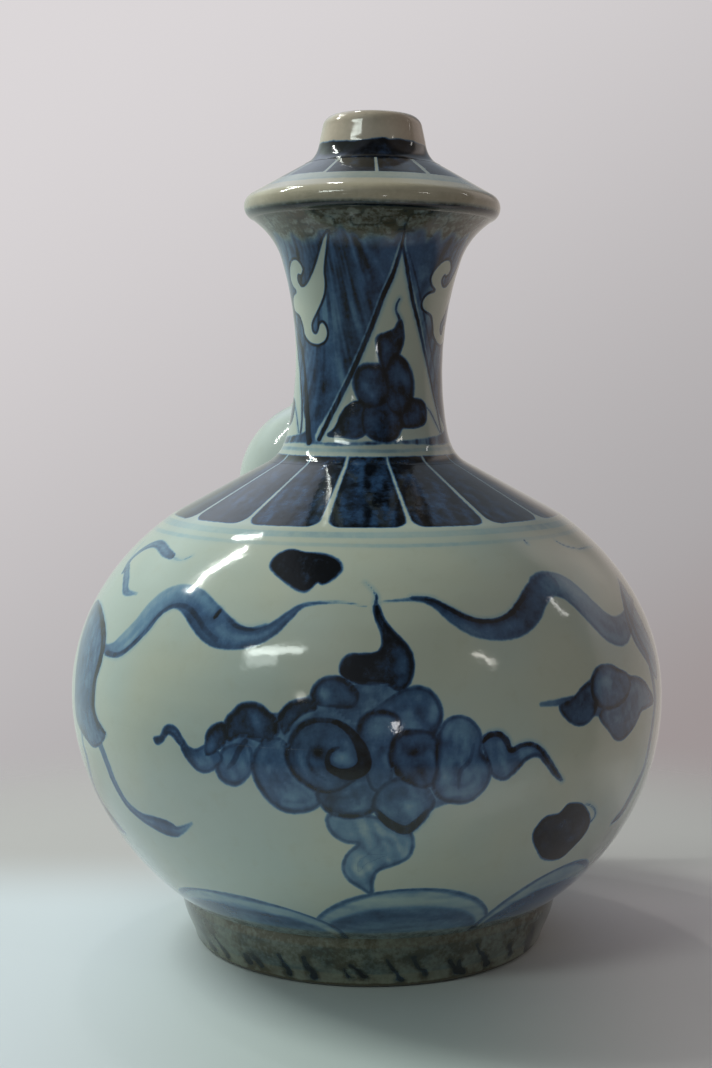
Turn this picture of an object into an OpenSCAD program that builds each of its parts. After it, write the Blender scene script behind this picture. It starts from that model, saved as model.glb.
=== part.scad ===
// Kendi: a thrown porcelain drinking and pouring vessel, in millimetres.
// The turning axis is Z, the foot stands on z = 0 and the spout points along +Y.
// Each section is thrown alone and joined to the next with a layer of luting slip.

/* [Foot] */
// Height of the foot ring
foot_h = 12.5; // [9:0.5:16]
// Outer diameter of the foot ring where it meets the base
foot_top_d = 93.6; // [88:0.2:98]
// Outer diameter of the foot ring above its bevelled edge
foot_rim_d = 86.4; // [82:0.2:92]
// Diameter of the recess inside the foot ring
foot_bore_d = 74; // [64:1:76]
// Bevel round the standing edge
foot_bevel = 1.6; // [0.8:0.1:2.4]

/* [Body] */
// Diameter at the widest line
body_d = 144; // [136:1:152]
// Height of the lower half, from its base to the widest line
lower_h = 48; // [43:0.5:52]
// Half height of the ellipse that the lower half follows
lower_curve = 64; // [60:0.5:70]
// Height of the shoulder line above the widest line
shoulder_rise = 43.5; // [40:0.5:46]
// Half height of the ellipse that the upper half follows
upper_curve = 57.5; // [55:0.5:62]
// Slope of the shoulder between the shoulder line and the neck
shoulder_slope = 28.6; // [24:0.2:34]
// Thickness of the body's wall
body_wall = 4.5; // [3.5:0.1:5.5]
// Thickness of the base
base_t = 5.5; // [4:0.5:8]

/* [Neck] */
// Height of the neck, from its foot to the flange
neck_h = 57; // [52:0.5:64]
// Diameter of the neck's spread foot
neck_foot_d = 45; // [44:0.5:50]
// Height of the fillet that spreads the neck's foot
neck_foot_h = 2.6; // [1.5:0.1:4]
// Outer diameter at the waist
neck_waist_d = 35.7; // [34.5:0.1:38]
// Height of the waist above the neck's foot
neck_waist_h = 22.6; // [19:0.2:26]
// Radius of the arc that the neck's side follows
neck_side_r = 83; // [76:1:96]
// Diameter of the neck's bore
neck_bore_d = 28.4; // [24:0.2:29]
// Height of the cone that flares out under the flange
flare_h = 8.4; // [7:0.2:11]
// Outer diameter of the flare where the flange sits on it
flare_d = 58.4; // [56:0.2:60]
// Width of the flare's seat for the flange
flare_seat_w = 3.7; // [3:0.1:4.5]

/* [Mouth] */
// Outer diameter of the flange's rim
flange_d = 61.8; // [60:0.2:66]
// Radius of the rounded rim
rim_r = 3.2; // [2.6:0.1:3.8]
// Height of the rim's widest line above the flange's underside
rim_h = 2.2; // [1.6:0.1:2.5]
// Slope of the flange's upper face
flange_slope = 30; // [26:0.5:34]
// Thickness of the flange's wall
flange_wall = 3.6; // [2.8:0.1:4.4]
// Height of the mouth collar
collar_h = 10.1; // [8:0.1:13]
// Diameter of the collar's spread foot
collar_foot_d = 29; // [27.5:0.1:31]
// Height of the fillet that spreads the collar's foot
collar_foot_h = 2.6; // [1.5:0.1:3.6]
// Diameter of the collar just above its foot
collar_d = 25; // [23:0.1:27]
// Diameter of the drinking hole
mouth_bore_d = 11.2; // [9:0.2:13]
// Radius of the rounded lip
lip_r = 2.6; // [2:0.1:3.2]

/* [Spout] */
// Height of the spout's root above the widest line
spout_rise = 42; // [38:0.5:43]
// Angle of the spout above level
spout_lift = 35; // [28:1:42]
// Diameter of the bulb
bulb_d = 47.4; // [44:0.2:50]
// Thickness of the bulb's wall
bulb_wall = 3.8; // [3:0.1:4.5]
// Distance from the shoulder to the middle of the bulb
bulb_stand = 9; // [7:0.5:12]
// Diameter of the hole pierced in the shoulder under the bulb
root_hole_d = 16; // [10:0.5:22]
// Diameter of the nozzle's spread foot
nozzle_foot_d = 24; // [20:0.5:25]
// Height of the fillet that spreads the nozzle's foot
nozzle_foot_h = 8; // [5:0.5:10]
// Outer diameter of the nozzle
nozzle_d = 12; // [10.8:0.2:14]
// Length of the nozzle
nozzle_l = 14; // [12:0.5:18]
// Diameter of the nozzle's bore
nozzle_bore_d = 7.2; // [6:0.2:8]

/* [Luting slip] */
// Thickness of the slip in each seam
slip_t = 0.5; // [0.3:0.1:0.8]
// Radius of the bead that squeezes out inside the belly seam
bead_r = 1.2; // [0.8:0.1:1.8]
// Clearance between that bead and the wall
bead_clear = 0.05; // [0.05:0.01:0.1]

/* [Hidden] */
$fn = 96;

// Steps along a long curve, along the neck's side, and along a lip or fillet
curve_steps = 22;
side_steps = 18;
lip_steps = 8;

// Half sizes
foot_top_r = foot_top_d / 2;
foot_rim_r = foot_rim_d / 2;
foot_bore_r = foot_bore_d / 2;
body_r = body_d / 2;
neck_foot_r = neck_foot_d / 2;
neck_waist_r = neck_waist_d / 2;
neck_bore_r = neck_bore_d / 2;
flare_r = flare_d / 2;
flare_in_r = flare_r - flare_seat_w;
flange_r = flange_d / 2;
collar_foot_r = collar_foot_d / 2;
collar_r = collar_d / 2;
mouth_bore_r = mouth_bore_d / 2;
bulb_r = bulb_d / 2;
nozzle_foot_r = nozzle_foot_d / 2;
nozzle_r = nozzle_d / 2;
nozzle_bore_r = nozzle_bore_d / 2;
half_slip = slip_t / 2;

// Heights of the seams, stacked from the foot upwards
base_z = foot_h + slip_t;
belly_z = base_z + lower_h;
shoulder_z = belly_z + shoulder_rise;
shoulder_turn = asin(shoulder_rise / upper_curve);
shoulder_r = body_r * cos(shoulder_turn);
neck_seat_z = shoulder_z + (shoulder_r - neck_foot_r) * tan(shoulder_slope);
neck_z = neck_seat_z + slip_t;
flare_top_z = neck_z + neck_h;
flare_z = flare_top_z - flare_h;
flange_z = flare_top_z + slip_t;

// The rim's centre, and the point where the rim runs into the flange's sloping face
rim_at = [flange_r - rim_r, flange_z + rim_h];
rim_end = rim_at + rim_r * [sin(flange_slope), cos(flange_slope)];
collar_seat_z = rim_end[1] + (rim_end[0] - collar_foot_r) * tan(flange_slope);
collar_z = collar_seat_z + slip_t;
mouth_z = collar_z + collar_h;

// The spout's root on the shoulder, and where the nozzle sits on the bulb
root_turn = asin(spout_rise / upper_curve);
root_r = body_r * cos(root_turn);
root_hole_l = 4 * body_wall;
nozzle_seat = sqrt(bulb_r * bulb_r - nozzle_foot_r * nozzle_foot_r);

// Points of an arc, from one angle to another
function arc(middle, rx, ry, from, to, steps) = [
    for (i = [0:steps]) let (a = from + (to - from) * i / steps)
        middle + [rx * cos(a), ry * sin(a)]
];

function reversed(points) = [for (i = [len(points) - 1:-1:0]) points[i]];

// A concave fillet: 1 at the spread foot, falling to 0 over its height
function fillet(up) = up < 1 ? 1 - sqrt(up * (2 - up)) : 0;

// Radius of the neck's side at a height above its foot, a hollow arc about the waist, and the same
// with the fillet that spreads the foot
function neck_arc(up) = neck_waist_r + neck_side_r
    - sqrt(neck_side_r * neck_side_r - (up - neck_waist_h) * (up - neck_waist_h));
function neck_side(up) = neck_arc(up) + (neck_foot_r - neck_arc(0)) * fillet(up / neck_foot_h);

// Outline of the lower half at a depth inside its outer face, from the seam to a height
function lower_curve_at(depth, z) = arc(
    [0, belly_z], body_r - depth, lower_curve - depth,
    -asin(half_slip / (lower_curve - depth)), -asin((belly_z - z) / (lower_curve - depth)),
    curve_steps
);

// Outline of the upper half at a depth inside its outer face, from a height up to the shoulder line
function upper_curve_at(depth, above) = arc(
    [0, belly_z], body_r - depth, upper_curve - depth,
    asin(above / (upper_curve - depth)), shoulder_turn, curve_steps
);

// A curve turned about the axis, and a flat ring
module turned(points) rotate_extrude() polygon(points);
module ring(z, inner, outer, height) turned([
    [inner, z], [outer, z], [outer, z + height], [inner, z + height]
]);

// The shoulder half as a full solid, grown outwards by a distance, to cut what sits on it
module shoulder_mass(grow) turned(concat(
    [[0, belly_z]],
    upper_curve_at(-grow, 0),
    [[neck_foot_r, neck_seat_z + grow / cos(shoulder_slope)],
     [0, neck_seat_z + grow / cos(shoulder_slope)]]
));

// Puts a shape on the spout's axis, with its own zero at the root on the shoulder
module on_spout() translate([0, root_r, belly_z + spout_rise]) rotate([spout_lift - 90, 0, 0])
    children();

// The bulb's wall before the saddle is cut
module bulb_wall_all() on_spout() translate([0, 0, bulb_stand]) difference() {
    sphere(bulb_r);
    sphere(bulb_r - bulb_wall);
    cylinder(h = bulb_d, r = nozzle_bore_r);
    translate([0, 0, nozzle_seat]) cylinder(h = bulb_r, r = bulb_r);
}

// Foot ring, tapered inwards to a bevelled standing edge
module foot_ring() color("darkseagreen") turned([
    [foot_bore_r, 0], [foot_rim_r - foot_bevel, 0], [foot_rim_r, foot_bevel],
    [foot_top_r, foot_h], [foot_bore_r, foot_h]
]);

module foot_slip() color("wheat") ring(foot_h, foot_bore_r, foot_top_r, slip_t);

// Bowl with a flat base
module lower_body() color("honeydew") turned(concat(
    lower_curve_at(0, base_z),
    [[0, base_z], [0, base_z + base_t]],
    reversed(lower_curve_at(body_wall, base_z + base_t))
));

// Seam slip at the widest line, with a rounded bead inside
module belly_slip() color("wheat") let (bead_at = body_r - body_wall - bead_clear) turned(concat(
    [[body_r, belly_z - half_slip], [body_r, belly_z + half_slip],
     [bead_at, belly_z + half_slip]],
    arc([bead_at, belly_z], bead_r, bead_r, 90, 270, lip_steps),
    [[bead_at, belly_z - half_slip]]
));

// Shoulder half, with the neck's hole and the hole pierced under the spout
module upper_body() color("lightsteelblue") difference() {
    turned(concat(
        upper_curve_at(0, half_slip),
        [[neck_foot_r, neck_seat_z], [neck_bore_r, neck_seat_z],
         [neck_bore_r, neck_seat_z - body_wall],
         [neck_foot_r, neck_seat_z - body_wall / cos(shoulder_slope)]],
        reversed(upper_curve_at(body_wall, half_slip))
    ));
    on_spout() cylinder(h = root_hole_l, d = root_hole_d, center = true);
}

module neck_slip() color("wheat") ring(neck_seat_z, neck_bore_r, neck_foot_r, slip_t);

// Waisted tube that flares out to carry the flange
module neck() color("steelblue") turned(concat(
    [for (i = [0:lip_steps]) let (up = neck_foot_h * i / lip_steps) [neck_side(up), neck_z + up]],
    [for (i = [1:side_steps])
        let (up = neck_foot_h + (flare_z - neck_z - neck_foot_h) * i / side_steps)
        [neck_side(up), neck_z + up]],
    [[flare_r, flare_top_z], [flare_in_r, flare_top_z],
     [neck_bore_r, flare_top_z - (flare_in_r - neck_bore_r) * flare_h
         / (flare_r - neck_side(flare_z - neck_z))],
     [neck_bore_r, neck_z]]
));

module flange_slip() color("wheat") ring(flare_top_z, flare_in_r, flare_r, slip_t);

// Dished flange with a rounded rim, hollow underneath
module mouth_flange() color("slategray") turned(concat(
    [[flare_in_r, flange_z]],
    arc(rim_at, rim_r, rim_r, -asin(rim_h / rim_r), 90 - flange_slope, lip_steps),
    [[collar_foot_r, collar_seat_z], [mouth_bore_r, collar_seat_z],
     [mouth_bore_r, collar_seat_z - flange_wall],
     [collar_foot_r - flange_wall * tan(flange_slope / 2), collar_seat_z - flange_wall],
     [flare_in_r, rim_end[1] + (rim_end[0] - flare_in_r) * tan(flange_slope)
         - flange_wall / cos(flange_slope)]]
));

module collar_slip() color("wheat") ring(collar_seat_z, mouth_bore_r, collar_foot_r, slip_t);

// Tapered collar with a rounded lip round the drinking hole
module mouth_collar() color("beige") turned(concat(
    [[mouth_bore_r, collar_z]],
    [for (i = [0:lip_steps]) let (up = i / lip_steps)
        [collar_r + (collar_foot_r - collar_r) * fillet(up), collar_z + collar_foot_h * up]],
    arc([mouth_bore_r + lip_r, mouth_z - lip_r], lip_r, lip_r, 0, 180, lip_steps)
));

module spout_slip() color("wheat") difference() {
    intersection() {
        bulb_wall_all();
        shoulder_mass(slip_t);
    }
    shoulder_mass(0);
}

// Hollow bulb, cut to a saddle over the shoulder
module spout_bulb() color("honeydew") difference() {
    bulb_wall_all();
    shoulder_mass(slip_t);
}

module nozzle_slip() color("wheat") on_spout() translate([0, 0, bulb_stand + nozzle_seat])
    ring(0, nozzle_bore_r, nozzle_foot_r, slip_t);

// Short pierced nipple with a spread foot and a rounded lip
module spout_nozzle() color("honeydew")
    let (tip_r = (nozzle_r - nozzle_bore_r) / 2)
    on_spout() translate([0, 0, bulb_stand + nozzle_seat + slip_t]) turned(concat(
        [[nozzle_bore_r, 0]],
        [for (i = [0:lip_steps]) let (up = i / lip_steps)
            [nozzle_r + (nozzle_foot_r - nozzle_r) * fillet(up), nozzle_foot_h * up]],
        arc([nozzle_bore_r + tip_r, nozzle_l - tip_r], tip_r, tip_r, 0, 180, lip_steps)
    ));

foot_ring();
foot_slip();
lower_body();
belly_slip();
upper_body();
neck_slip();
neck();
flange_slip();
mouth_flange();
collar_slip();
mouth_collar();
spout_slip();
spout_bulb();
nozzle_slip();
spout_nozzle();
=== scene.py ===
import math
import bpy
import numpy as np
from mathutils import Matrix


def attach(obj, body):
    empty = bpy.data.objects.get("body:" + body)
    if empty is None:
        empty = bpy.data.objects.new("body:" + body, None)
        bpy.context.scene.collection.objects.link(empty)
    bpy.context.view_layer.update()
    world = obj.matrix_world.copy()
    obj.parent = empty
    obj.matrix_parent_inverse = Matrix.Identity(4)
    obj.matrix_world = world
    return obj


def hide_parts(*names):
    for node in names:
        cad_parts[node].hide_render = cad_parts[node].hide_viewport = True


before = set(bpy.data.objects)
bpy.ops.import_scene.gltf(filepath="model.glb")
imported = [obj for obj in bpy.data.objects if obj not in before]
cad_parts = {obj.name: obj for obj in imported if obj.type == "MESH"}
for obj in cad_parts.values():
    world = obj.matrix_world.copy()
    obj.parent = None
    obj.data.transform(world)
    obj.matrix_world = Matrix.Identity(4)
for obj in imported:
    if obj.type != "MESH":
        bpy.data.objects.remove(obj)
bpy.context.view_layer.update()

mm = 0.001
fullTurn = 2.0 * math.pi

# where the photograph was taken from, worked out in mm and degrees
viewpoint = {
    "turn": -12.0,             # camera's angle round the pot, from the side away from the spout
    "distance": 404.0,         # from the pot's axis
    "height": 136.1,
    "pitch": 5.24,             # looking down
    "yaw": 0.365,
    "focal": 1648.0,           # in pixels of the 712 x 1068 picture
    "longSide": 1068.0,
    "sensor": 36.0,
    "axisX": 366.5,            # pixel column of the pot's axis
    "midY": 534.0,
    "search": (-82.0, 25.0, 1500),      # stretch of a line of sight about the axis, and its steps
}
turn = math.radians(viewpoint["turn"])
rightWay = np.array([math.cos(turn), math.sin(turn), 0.0])
awayWay = np.array([-math.sin(turn), math.cos(turn), 0.0])
upWay = np.array([0.0, 0.0, 1.0])

# handmade unevenness in mm, shared by every piece so that the seams still meet
hand = {
    "lean": 1.4, "leanFrom": 100.0, "leanTo": 190.0,                         # the neck leans to the right
    "sag": 0.55, "sagFrom": 25.0, "sagTo": 66.0,                             # so does the foot, a little
    "tilt": 0.0095, "tiltFrom": 150.0, "tiltTo": 178.0,                      # the mouth slopes
    "oval": 0.0016, "ovalAt": 0.7, "threeLobe": 0.0009, "threeAt": -1.1,     # out of round
    "ring": 0.012, "ringPitch": 5.6, "ringDrift": 0.6, "driftRate": 0.21, "ringLeastR": 12.0,
}
scatter = {"rate": 127.1, "start": 11.7, "gain": 43758.5453, "across": 7.31, "down": 57.77}


def ease(x, low, high):
    # smooth step: 0 below low, 1 above high, a cubic between
    t = np.clip((x - low) / (high - low), 0.0, 1.0)
    return t * t * (3.0 - 2.0 * t)


def around(angle):
    # an angle brought to the range from minus half a turn to half a turn
    return (angle + math.pi) % fullTurn - math.pi


def hash01(n):
    # a fixed scatter of 0 to 1 from whole numbers: fraction of a large sine
    wave = np.sin(np.asarray(n, float) * scatter["rate"] + scatter["start"])
    return np.modf(np.abs(wave * scatter["gain"]))[0]


def streaks(u, v, seed=0.0, period=None):
    # brush streaks from 0 to 1: a scatter on a lattice, joined smoothly between its points
    left, low = np.floor(u), np.floor(v)
    right = left + 1.0
    across, down = ease(u - left, 0.0, 1.0), ease(v - low, 0.0, 1.0)
    if period is not None:
        left, right = np.mod(left, period), np.mod(right, period)

    def level(row):
        a, b = (hash01(column * scatter["across"] + row * scatter["down"] + seed) for column in (left, right))
        return a * (1.0 - across) + b * across

    return level(low) * (1.0 - down) + level(low + 1.0) * down


def handShift(z):
    # how far the pot leans to the right at a height, mm
    return (hand["lean"] * ease(z, hand["leanFrom"], hand["leanTo"])
            + hand["sag"] * ease(-z, -hand["sagTo"], -hand["sagFrom"]))


def unevenHand(x, y, z):
    # a potter's small errors: two and three lobed roundness, throwing rings, a lean and a tilt of the top
    angle = np.arctan2(y, x)
    grow = (1.0 + hand["oval"] * np.cos(2.0 * angle + hand["ovalAt"])
            + hand["threeLobe"] * np.cos(3.0 * angle + hand["threeAt"]))
    rings = np.sin(fullTurn * z / hand["ringPitch"] + hand["ringDrift"] * np.sin(z * hand["driftRate"]))
    grow = grow + hand["ring"] * rings / np.maximum(np.hypot(x, y), hand["ringLeastR"])
    shift = handShift(z)
    sideways = x * rightWay[0] + y * rightWay[1]
    return (x * grow + rightWay[0] * shift, y * grow + rightWay[1] * shift,
            z - hand["tilt"] * sideways * ease(z, hand["tiltFrom"], hand["tiltTo"]))


# sizes of foot, body and neck, mm
foot = {"height": 13.0, "topR": 46.8, "rimR": 43.2, "boreR": 37.0, "bevel": 1.6, "swell": 0.6, "swellLow": 1.3,
        "chamfer": 0.9, "rows": 30, "columns": 720}
body = {"bellyR": 72.0, "bellyZ": 61.0, "lowerCurve": 64.0, "upperCurve": 57.5, "shoulderZ": 104.5,
        "seatR": 22.5, "seatZ": 117.9, "seatTop": 118.1, "slope": 28.6, "wall": 4.5, "base": 5.5, "baseR": 6.0,
        "neckHoleR": 14.2, "insideTop": 112.6,
        "lowerColumns": 840, "lowerRows": 108, "upperColumns": 720, "upperRows": 124, "insideRows": 7}
neck = {"footZ": 118.15, "waistR": 17.85, "waistUp": 22.6, "sideR": 83.0,
        "skirt": ((24.02, 117.10), (20.51, 118.98), (19.33, 125.15)),     # curve up from the shoulder
        "boreR": 14.2, "height": 57.25, "flareH": 10.0, "flareR": 29.2, "flareEnd": 14.0, "seatW": 3.7,
        "columns": 560, "rows": 130}
shoulderSin = (body["shoulderZ"] - body["bellyZ"]) / body["upperCurve"]
neckTop = neck["footZ"] + neck["height"]


def bodyRadius(z, depth=0.0):
    # two half ellipses that meet at the belly, then a straight cone from the shoulder line to the neck
    z = np.asarray(z, float)
    low = 1.0 - ((body["bellyZ"] - z) / (body["lowerCurve"] - depth)) ** 2
    high = 1.0 - ((z - body["bellyZ"]) / (body["upperCurve"] - depth)) ** 2
    curve = (body["bellyR"] - depth) * np.sqrt(np.maximum(np.where(z < body["bellyZ"], low, high), 1e-6))
    turnZ = body["bellyZ"] + (body["upperCurve"] - depth) * shoulderSin
    turnR = (body["bellyR"] - depth) * math.sqrt(1.0 - shoulderSin ** 2)
    endZ = body["seatZ"] - depth / math.cos(math.radians(body["slope"]))
    cone = turnR + (z - turnZ) * (body["seatR"] - turnR) / (endZ - turnZ)
    return np.where(z > turnZ, np.maximum(cone, 1e-3), curve)


def bent(a, b, c, count):
    # a curve from a to c that leans towards b: quadratic Bezier
    t = np.linspace(0.0, 1.0, count)[:, None]
    return (1.0 - t) ** 2 * np.array(a) + 2.0 * t * (1.0 - t) * np.array(b) + t ** 2 * np.array(c)


def arc(middle, radius, start, end, count):
    # points of a circle from one angle to another
    bend = np.linspace(start, end, count)
    return np.stack([middle[0] + radius * np.cos(bend), middle[1] + radius * np.sin(bend)], 1)


def runAlong(points):
    # length of a polyline up to each of its points
    return np.concatenate([[0.0], np.cumsum(np.hypot(*np.diff(points, axis=0).T))])


def spread(points, count, hold=0.04):
    # the same polyline with its points spaced evenly along its length, and one more close to each end, so
    # that the shading stays true up to a sharp edge
    points = np.asarray(points, float)
    run = runAlong(points)
    at = np.sort(np.concatenate([np.linspace(0.0, run[-1], count), [hold, run[-1] - hold]]))
    return np.stack([np.interp(at, run, points[:, k]) for k in range(points.shape[1])], 1)


skirt = bent(*neck["skirt"], 60)


def neckRadius(z):
    # a hollow circular arc about the waist, a hollow curve at the foot and a cubic flare at the top
    up = np.asarray(z, float) - neck["footZ"]
    far = neck["waistR"] + neck["sideR"]
    flareFrom = neck["height"] - neck["flareH"]
    side = far - np.sqrt(neck["sideR"] ** 2 - (up - neck["waistUp"]) ** 2)
    side = np.where(z < skirt[-1, 1], np.interp(z, skirt[:, 1], skirt[:, 0]), side)
    edge = far - math.sqrt(neck["sideR"] ** 2 - (flareFrom - neck["waistUp"]) ** 2)
    start, end = neck["flareH"] * (flareFrom - neck["waistUp"]) / (far - edge), neck["flareEnd"]
    rise = neck["flareR"] - edge
    f = np.clip((up - flareFrom) / neck["flareH"], 0.0, 1.0)
    flare = edge + start * f + (3.0 * rise - 2.0 * start - end) * f ** 2 + (start + end - 2.0 * rise) * f ** 3
    return np.where(up > flareFrom, flare, side)


# run along the outside of body and neck by height, used to lay the brushwork out flat
bodyZ, neckZ = np.linspace(foot["height"], body["seatZ"], 1400), np.linspace(neck["footZ"], neckTop, 900)
chartZ = np.concatenate([bodyZ, neckZ])
chartR = np.concatenate([bodyRadius(bodyZ), neckRadius(neckZ)])
chartS = runAlong(np.stack([chartR, chartZ], 1))


def pixelsToPot(pixels):
    # each pixel's line of sight is followed until it meets the turned surface; gives angle, run along the
    # side and mm per pixel there
    pixels = np.asarray(pixels, float)
    pitch, distance = math.radians(viewpoint["pitch"]), viewpoint["distance"]
    across = (pixels[:, 0] - viewpoint["axisX"]) / viewpoint["focal"]
    rise = (viewpoint["midY"] - pixels[:, 1]) / viewpoint["focal"]
    near, far, steps = viewpoint["search"]
    reach = np.linspace(distance + near, distance + far, steps)[None, :]
    y = (math.cos(pitch) + rise * math.sin(pitch))[:, None] * reach - distance
    z = viewpoint["height"] + (rise * math.cos(pitch) - math.sin(pitch))[:, None] * reach
    x = across[:, None] * reach - handShift(z)
    gap = np.hypot(x, y) - np.interp(z, chartZ, chartR)
    hit = np.where((gap < 0.0).any(1), np.argmax(gap < 0.0, axis=1), np.argmin(gap, axis=1))
    row = np.arange(len(pixels))
    angle = np.arctan2(x[row, hit], -y[row, hit])
    return angle, np.interp(z[row, hit], chartZ, chartS), reach[0, hit] / viewpoint["focal"]


def smoothPath(points, closed=False, steps=7):
    # Catmull-Rom: each span is the cubic through its two points with slopes from their neighbours
    p = np.asarray(points, float)
    if closed:
        a, b, c, d = np.roll(p, 1, 0), p, np.roll(p, -1, 0), np.roll(p, -2, 0)
    else:
        q = np.concatenate([2 * p[:1] - p[1:2], p, 2 * p[-1:] - p[-2:-1]])
        a, b, c, d = q[:-3], q[1:-2], q[2:-1], q[3:]
    t = (np.arange(steps) / steps)[None, :, None]
    a, b, c, d = (v[:, None, :] for v in (a, b, c, d))
    curve = 0.5 * (2 * b + (c - a) * t + (2 * a - 5 * b + 4 * c - d) * t ** 2 + (3 * b - a - 3 * c + d) * t ** 3)
    curve = curve.reshape(-1, p.shape[1])
    return curve if closed else np.concatenate([curve, p[-1:]])


# how the brushwork is kept and how its marks are spaced, mm
rimLayers = ("rimA", "rimB", "rimC", "rimD")               # outlines, sorted so that neighbours keep apart
farKeys = ("line", "wash", "inner") + rimLayers
toneKeys = ("lineTone", "rimTone", "tone", "stain")
everywhere = slice(None)                                    # all points of a sheet
inkwork = {"rimHalf": 0.4,                                  # half of an outline's width as it is stored
           "farOff": 6.0, "margin": 4.0, "washReach": 1.4, "leastHalf": 0.02,
           "hairs": 1.7, "hairLength": 30.0, "hairDepth": 0.24,
           "spokes": 8, "bandPitch": 1.25, "bandWander": 1.6, "wanderPitch": 4.0,
           "hatchSlant": 0.4, "hatchWide": 1.2, "hatchLong": 4.5, "markDepth": 0.38, "swells": 7}


def blankSheet(angle, run, radius):
    # the painting of one piece: distances to lines, outlines and washes in mm (negative inside), and strengths
    sheet = {"angle": angle, "run": run, "radius": radius}
    sheet.update({key: np.full(len(angle), inkwork["farOff"]) for key in farKeys})
    sheet.update({key: np.zeros(len(angle)) for key in toneKeys})
    return sheet


def nearBy(sheet, angle, run):
    # the points of a sheet inside the box round a shape, then those points and the shape's corners in mm
    middle, half = 0.5 * (angle.min() + angle.max()), 0.5 * (angle.max() - angle.min())
    off, margin = around(sheet["angle"] - middle), inkwork["margin"]
    keep = (np.abs(off) * sheet["radius"] < half * sheet["radius"] + margin)
    keep &= (sheet["run"] > run.min() - margin) & (sheet["run"] < run.max() + margin)
    who = np.nonzero(keep)[0]
    r = sheet["radius"][who][:, None]
    return who, off[who][:, None] * r, sheet["run"][who][:, None], around(angle - middle)[None, :] * r, run[None, :]


def toSegments(px, py, ax, ay, dx, dy):
    # the nearest place on each segment as a share of it, its distance, and the segment's squared length
    size = np.maximum(dx * dx + dy * dy, 1e-9)
    t = np.clip(((px - ax) * dx + (py - ay) * dy) / size, 0.0, 1.0)
    return t, np.hypot(px - ax - t * dx, py - ay - t * dy), size


def strokeField(sheet, angle, run, half):
    # least distance to the brush path minus its half width there, the side of the path and the share along it
    who, px, py, qx, qy = nearBy(sheet, angle, run)
    ax, ay = qx[:, :-1], qy[:, :-1]
    dx, dy = qx[:, 1:] - ax, qy[:, 1:] - ay
    t, gap, size = toSegments(px, py, ax, ay, dx, dy)
    w = half[None, :-1] + t * (half[None, 1:] - half[None, :-1])
    d = gap - w
    k = np.argmin(d, axis=1)
    row = np.arange(len(who))
    lean = ((px - ax) * dy - (py - ay) * dx)[row, k] / np.sqrt(size[row, k]) / np.maximum(w[row, k], 0.05)
    return who, d[row, k], np.clip(lean, -1.0, 1.0), (k + t[row, k]) / dx.shape[1]


def areaField(sheet, angle, run):
    # signed distance to a closed outline: distance to its nearest side, negative where an odd number of
    # sides lie to the right
    who, px, py, ax, ay = nearBy(sheet, angle, run)
    bx, by = np.roll(ax, -1, 1), np.roll(ay, -1, 1)
    dx, dy = bx - ax, by - ay
    d = toSegments(px, py, ax, ay, dx, dy)[1].min(1)
    crossing = ((ay > py) != (by > py)) & (px < ax + dx * (py - ay) / np.where(np.abs(dy) < 1e-9, 1e-9, dy))
    return who, np.where(crossing.sum(1) % 2 == 1, -d, d)


def layLine(sheet, who, d, tone):
    # a line joins the lines already there, and keeps its own strength where it is the nearest
    nearer = d < sheet["line"][who]
    sheet["lineTone"][who] = np.where(nearer, tone, sheet["lineTone"][who])
    sheet["line"][who] = np.minimum(sheet["line"][who], d)


def coverRims(sheet, who, d):
    # older outlines end where a shape covers them
    for key in rimLayers:
        sheet[key][who] = np.where(d < 0.0, np.maximum(np.abs(sheet[key][who]), -d), sheet[key][who])


def layRim(sheet, who, d, half, tone, crisp=1.0):
    # a shape's outline, kept as a signed distance scaled to the stored width; it goes to the layer where the
    # fewest older outlines and insides lie close by; crisp shortens the way that it runs inwards
    close = (d > -0.3) & (d < 1.8)
    clash = [np.count_nonzero(close & (sheet[key][who] < 1.2)) for key in rimLayers]
    best = rimLayers[int(np.argmin(clash))]
    coverRims(sheet, who, d)
    scaled = np.where(d < 0.0, crisp * d, d) * inkwork["rimHalf"] / half
    mine = (d < 0.0) | (np.abs(scaled) < np.abs(sheet[best][who]))
    sheet[best][who] = np.where(mine, scaled, sheet[best][who])
    others = np.min([np.abs(sheet[key][who]) for key in rimLayers if key != best], axis=0)
    sheet["rimTone"][who] = np.where(np.abs(scaled) <= others, tone, sheet["rimTone"][who])


def layWash(sheet, who, d, tone):
    # a wash covers what it overlaps with its own strength
    over = d < np.maximum(np.minimum(sheet["wash"][who], inkwork["washReach"]), 0.0)
    sheet["tone"][who] = np.where(over, tone, sheet["tone"][who])
    sheet["inner"][who] = np.where(over, -d, sheet["inner"][who])
    sheet["wash"][who] = np.minimum(sheet["wash"][who], d)


def fromView(pixels, view):
    # pixels read on an enlarged part of the picture, put back on the whole picture
    pixels = np.asarray(pixels, float)
    return pixels if view is None else np.asarray(view["corner"]) + pixels / view["scale"]


def brush(sheet, points, tone, turns=(0.0,), wide=None, asWash=False, side=0.0, view=None):
    # points are pixel columns, rows and half widths; tone is one strength or several along the stroke; side
    # makes one edge stronger than the other
    points = np.asarray(points, float)
    if wide is not None:
        points = np.concatenate([points[:, :2], np.full((len(points), 1), wide)], 1)
    path = smoothPath(points)
    angle, run, scale = pixelsToPot(fromView(path[:, :2], view))
    half = np.maximum(path[:, 2] * scale / (view["scale"] if view else 1.0), inkwork["leastHalf"])
    tones = np.atleast_1d(tone)
    for shift in turns:
        who, d, lean, along = strokeField(sheet, angle + shift, run, half)
        strength = np.interp(along, np.linspace(0, 1, len(tones)), tones) + side * lean
        if asWash:
            hairs = streaks(inkwork["hairs"] * lean, along * np.ptp(points[:, 0]) / inkwork["hairLength"], run[0])
            strength = strength + inkwork["hairDepth"] * (hairs - 0.5)
        (layWash if asWash else layLine)(sheet, who, d, strength)


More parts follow.
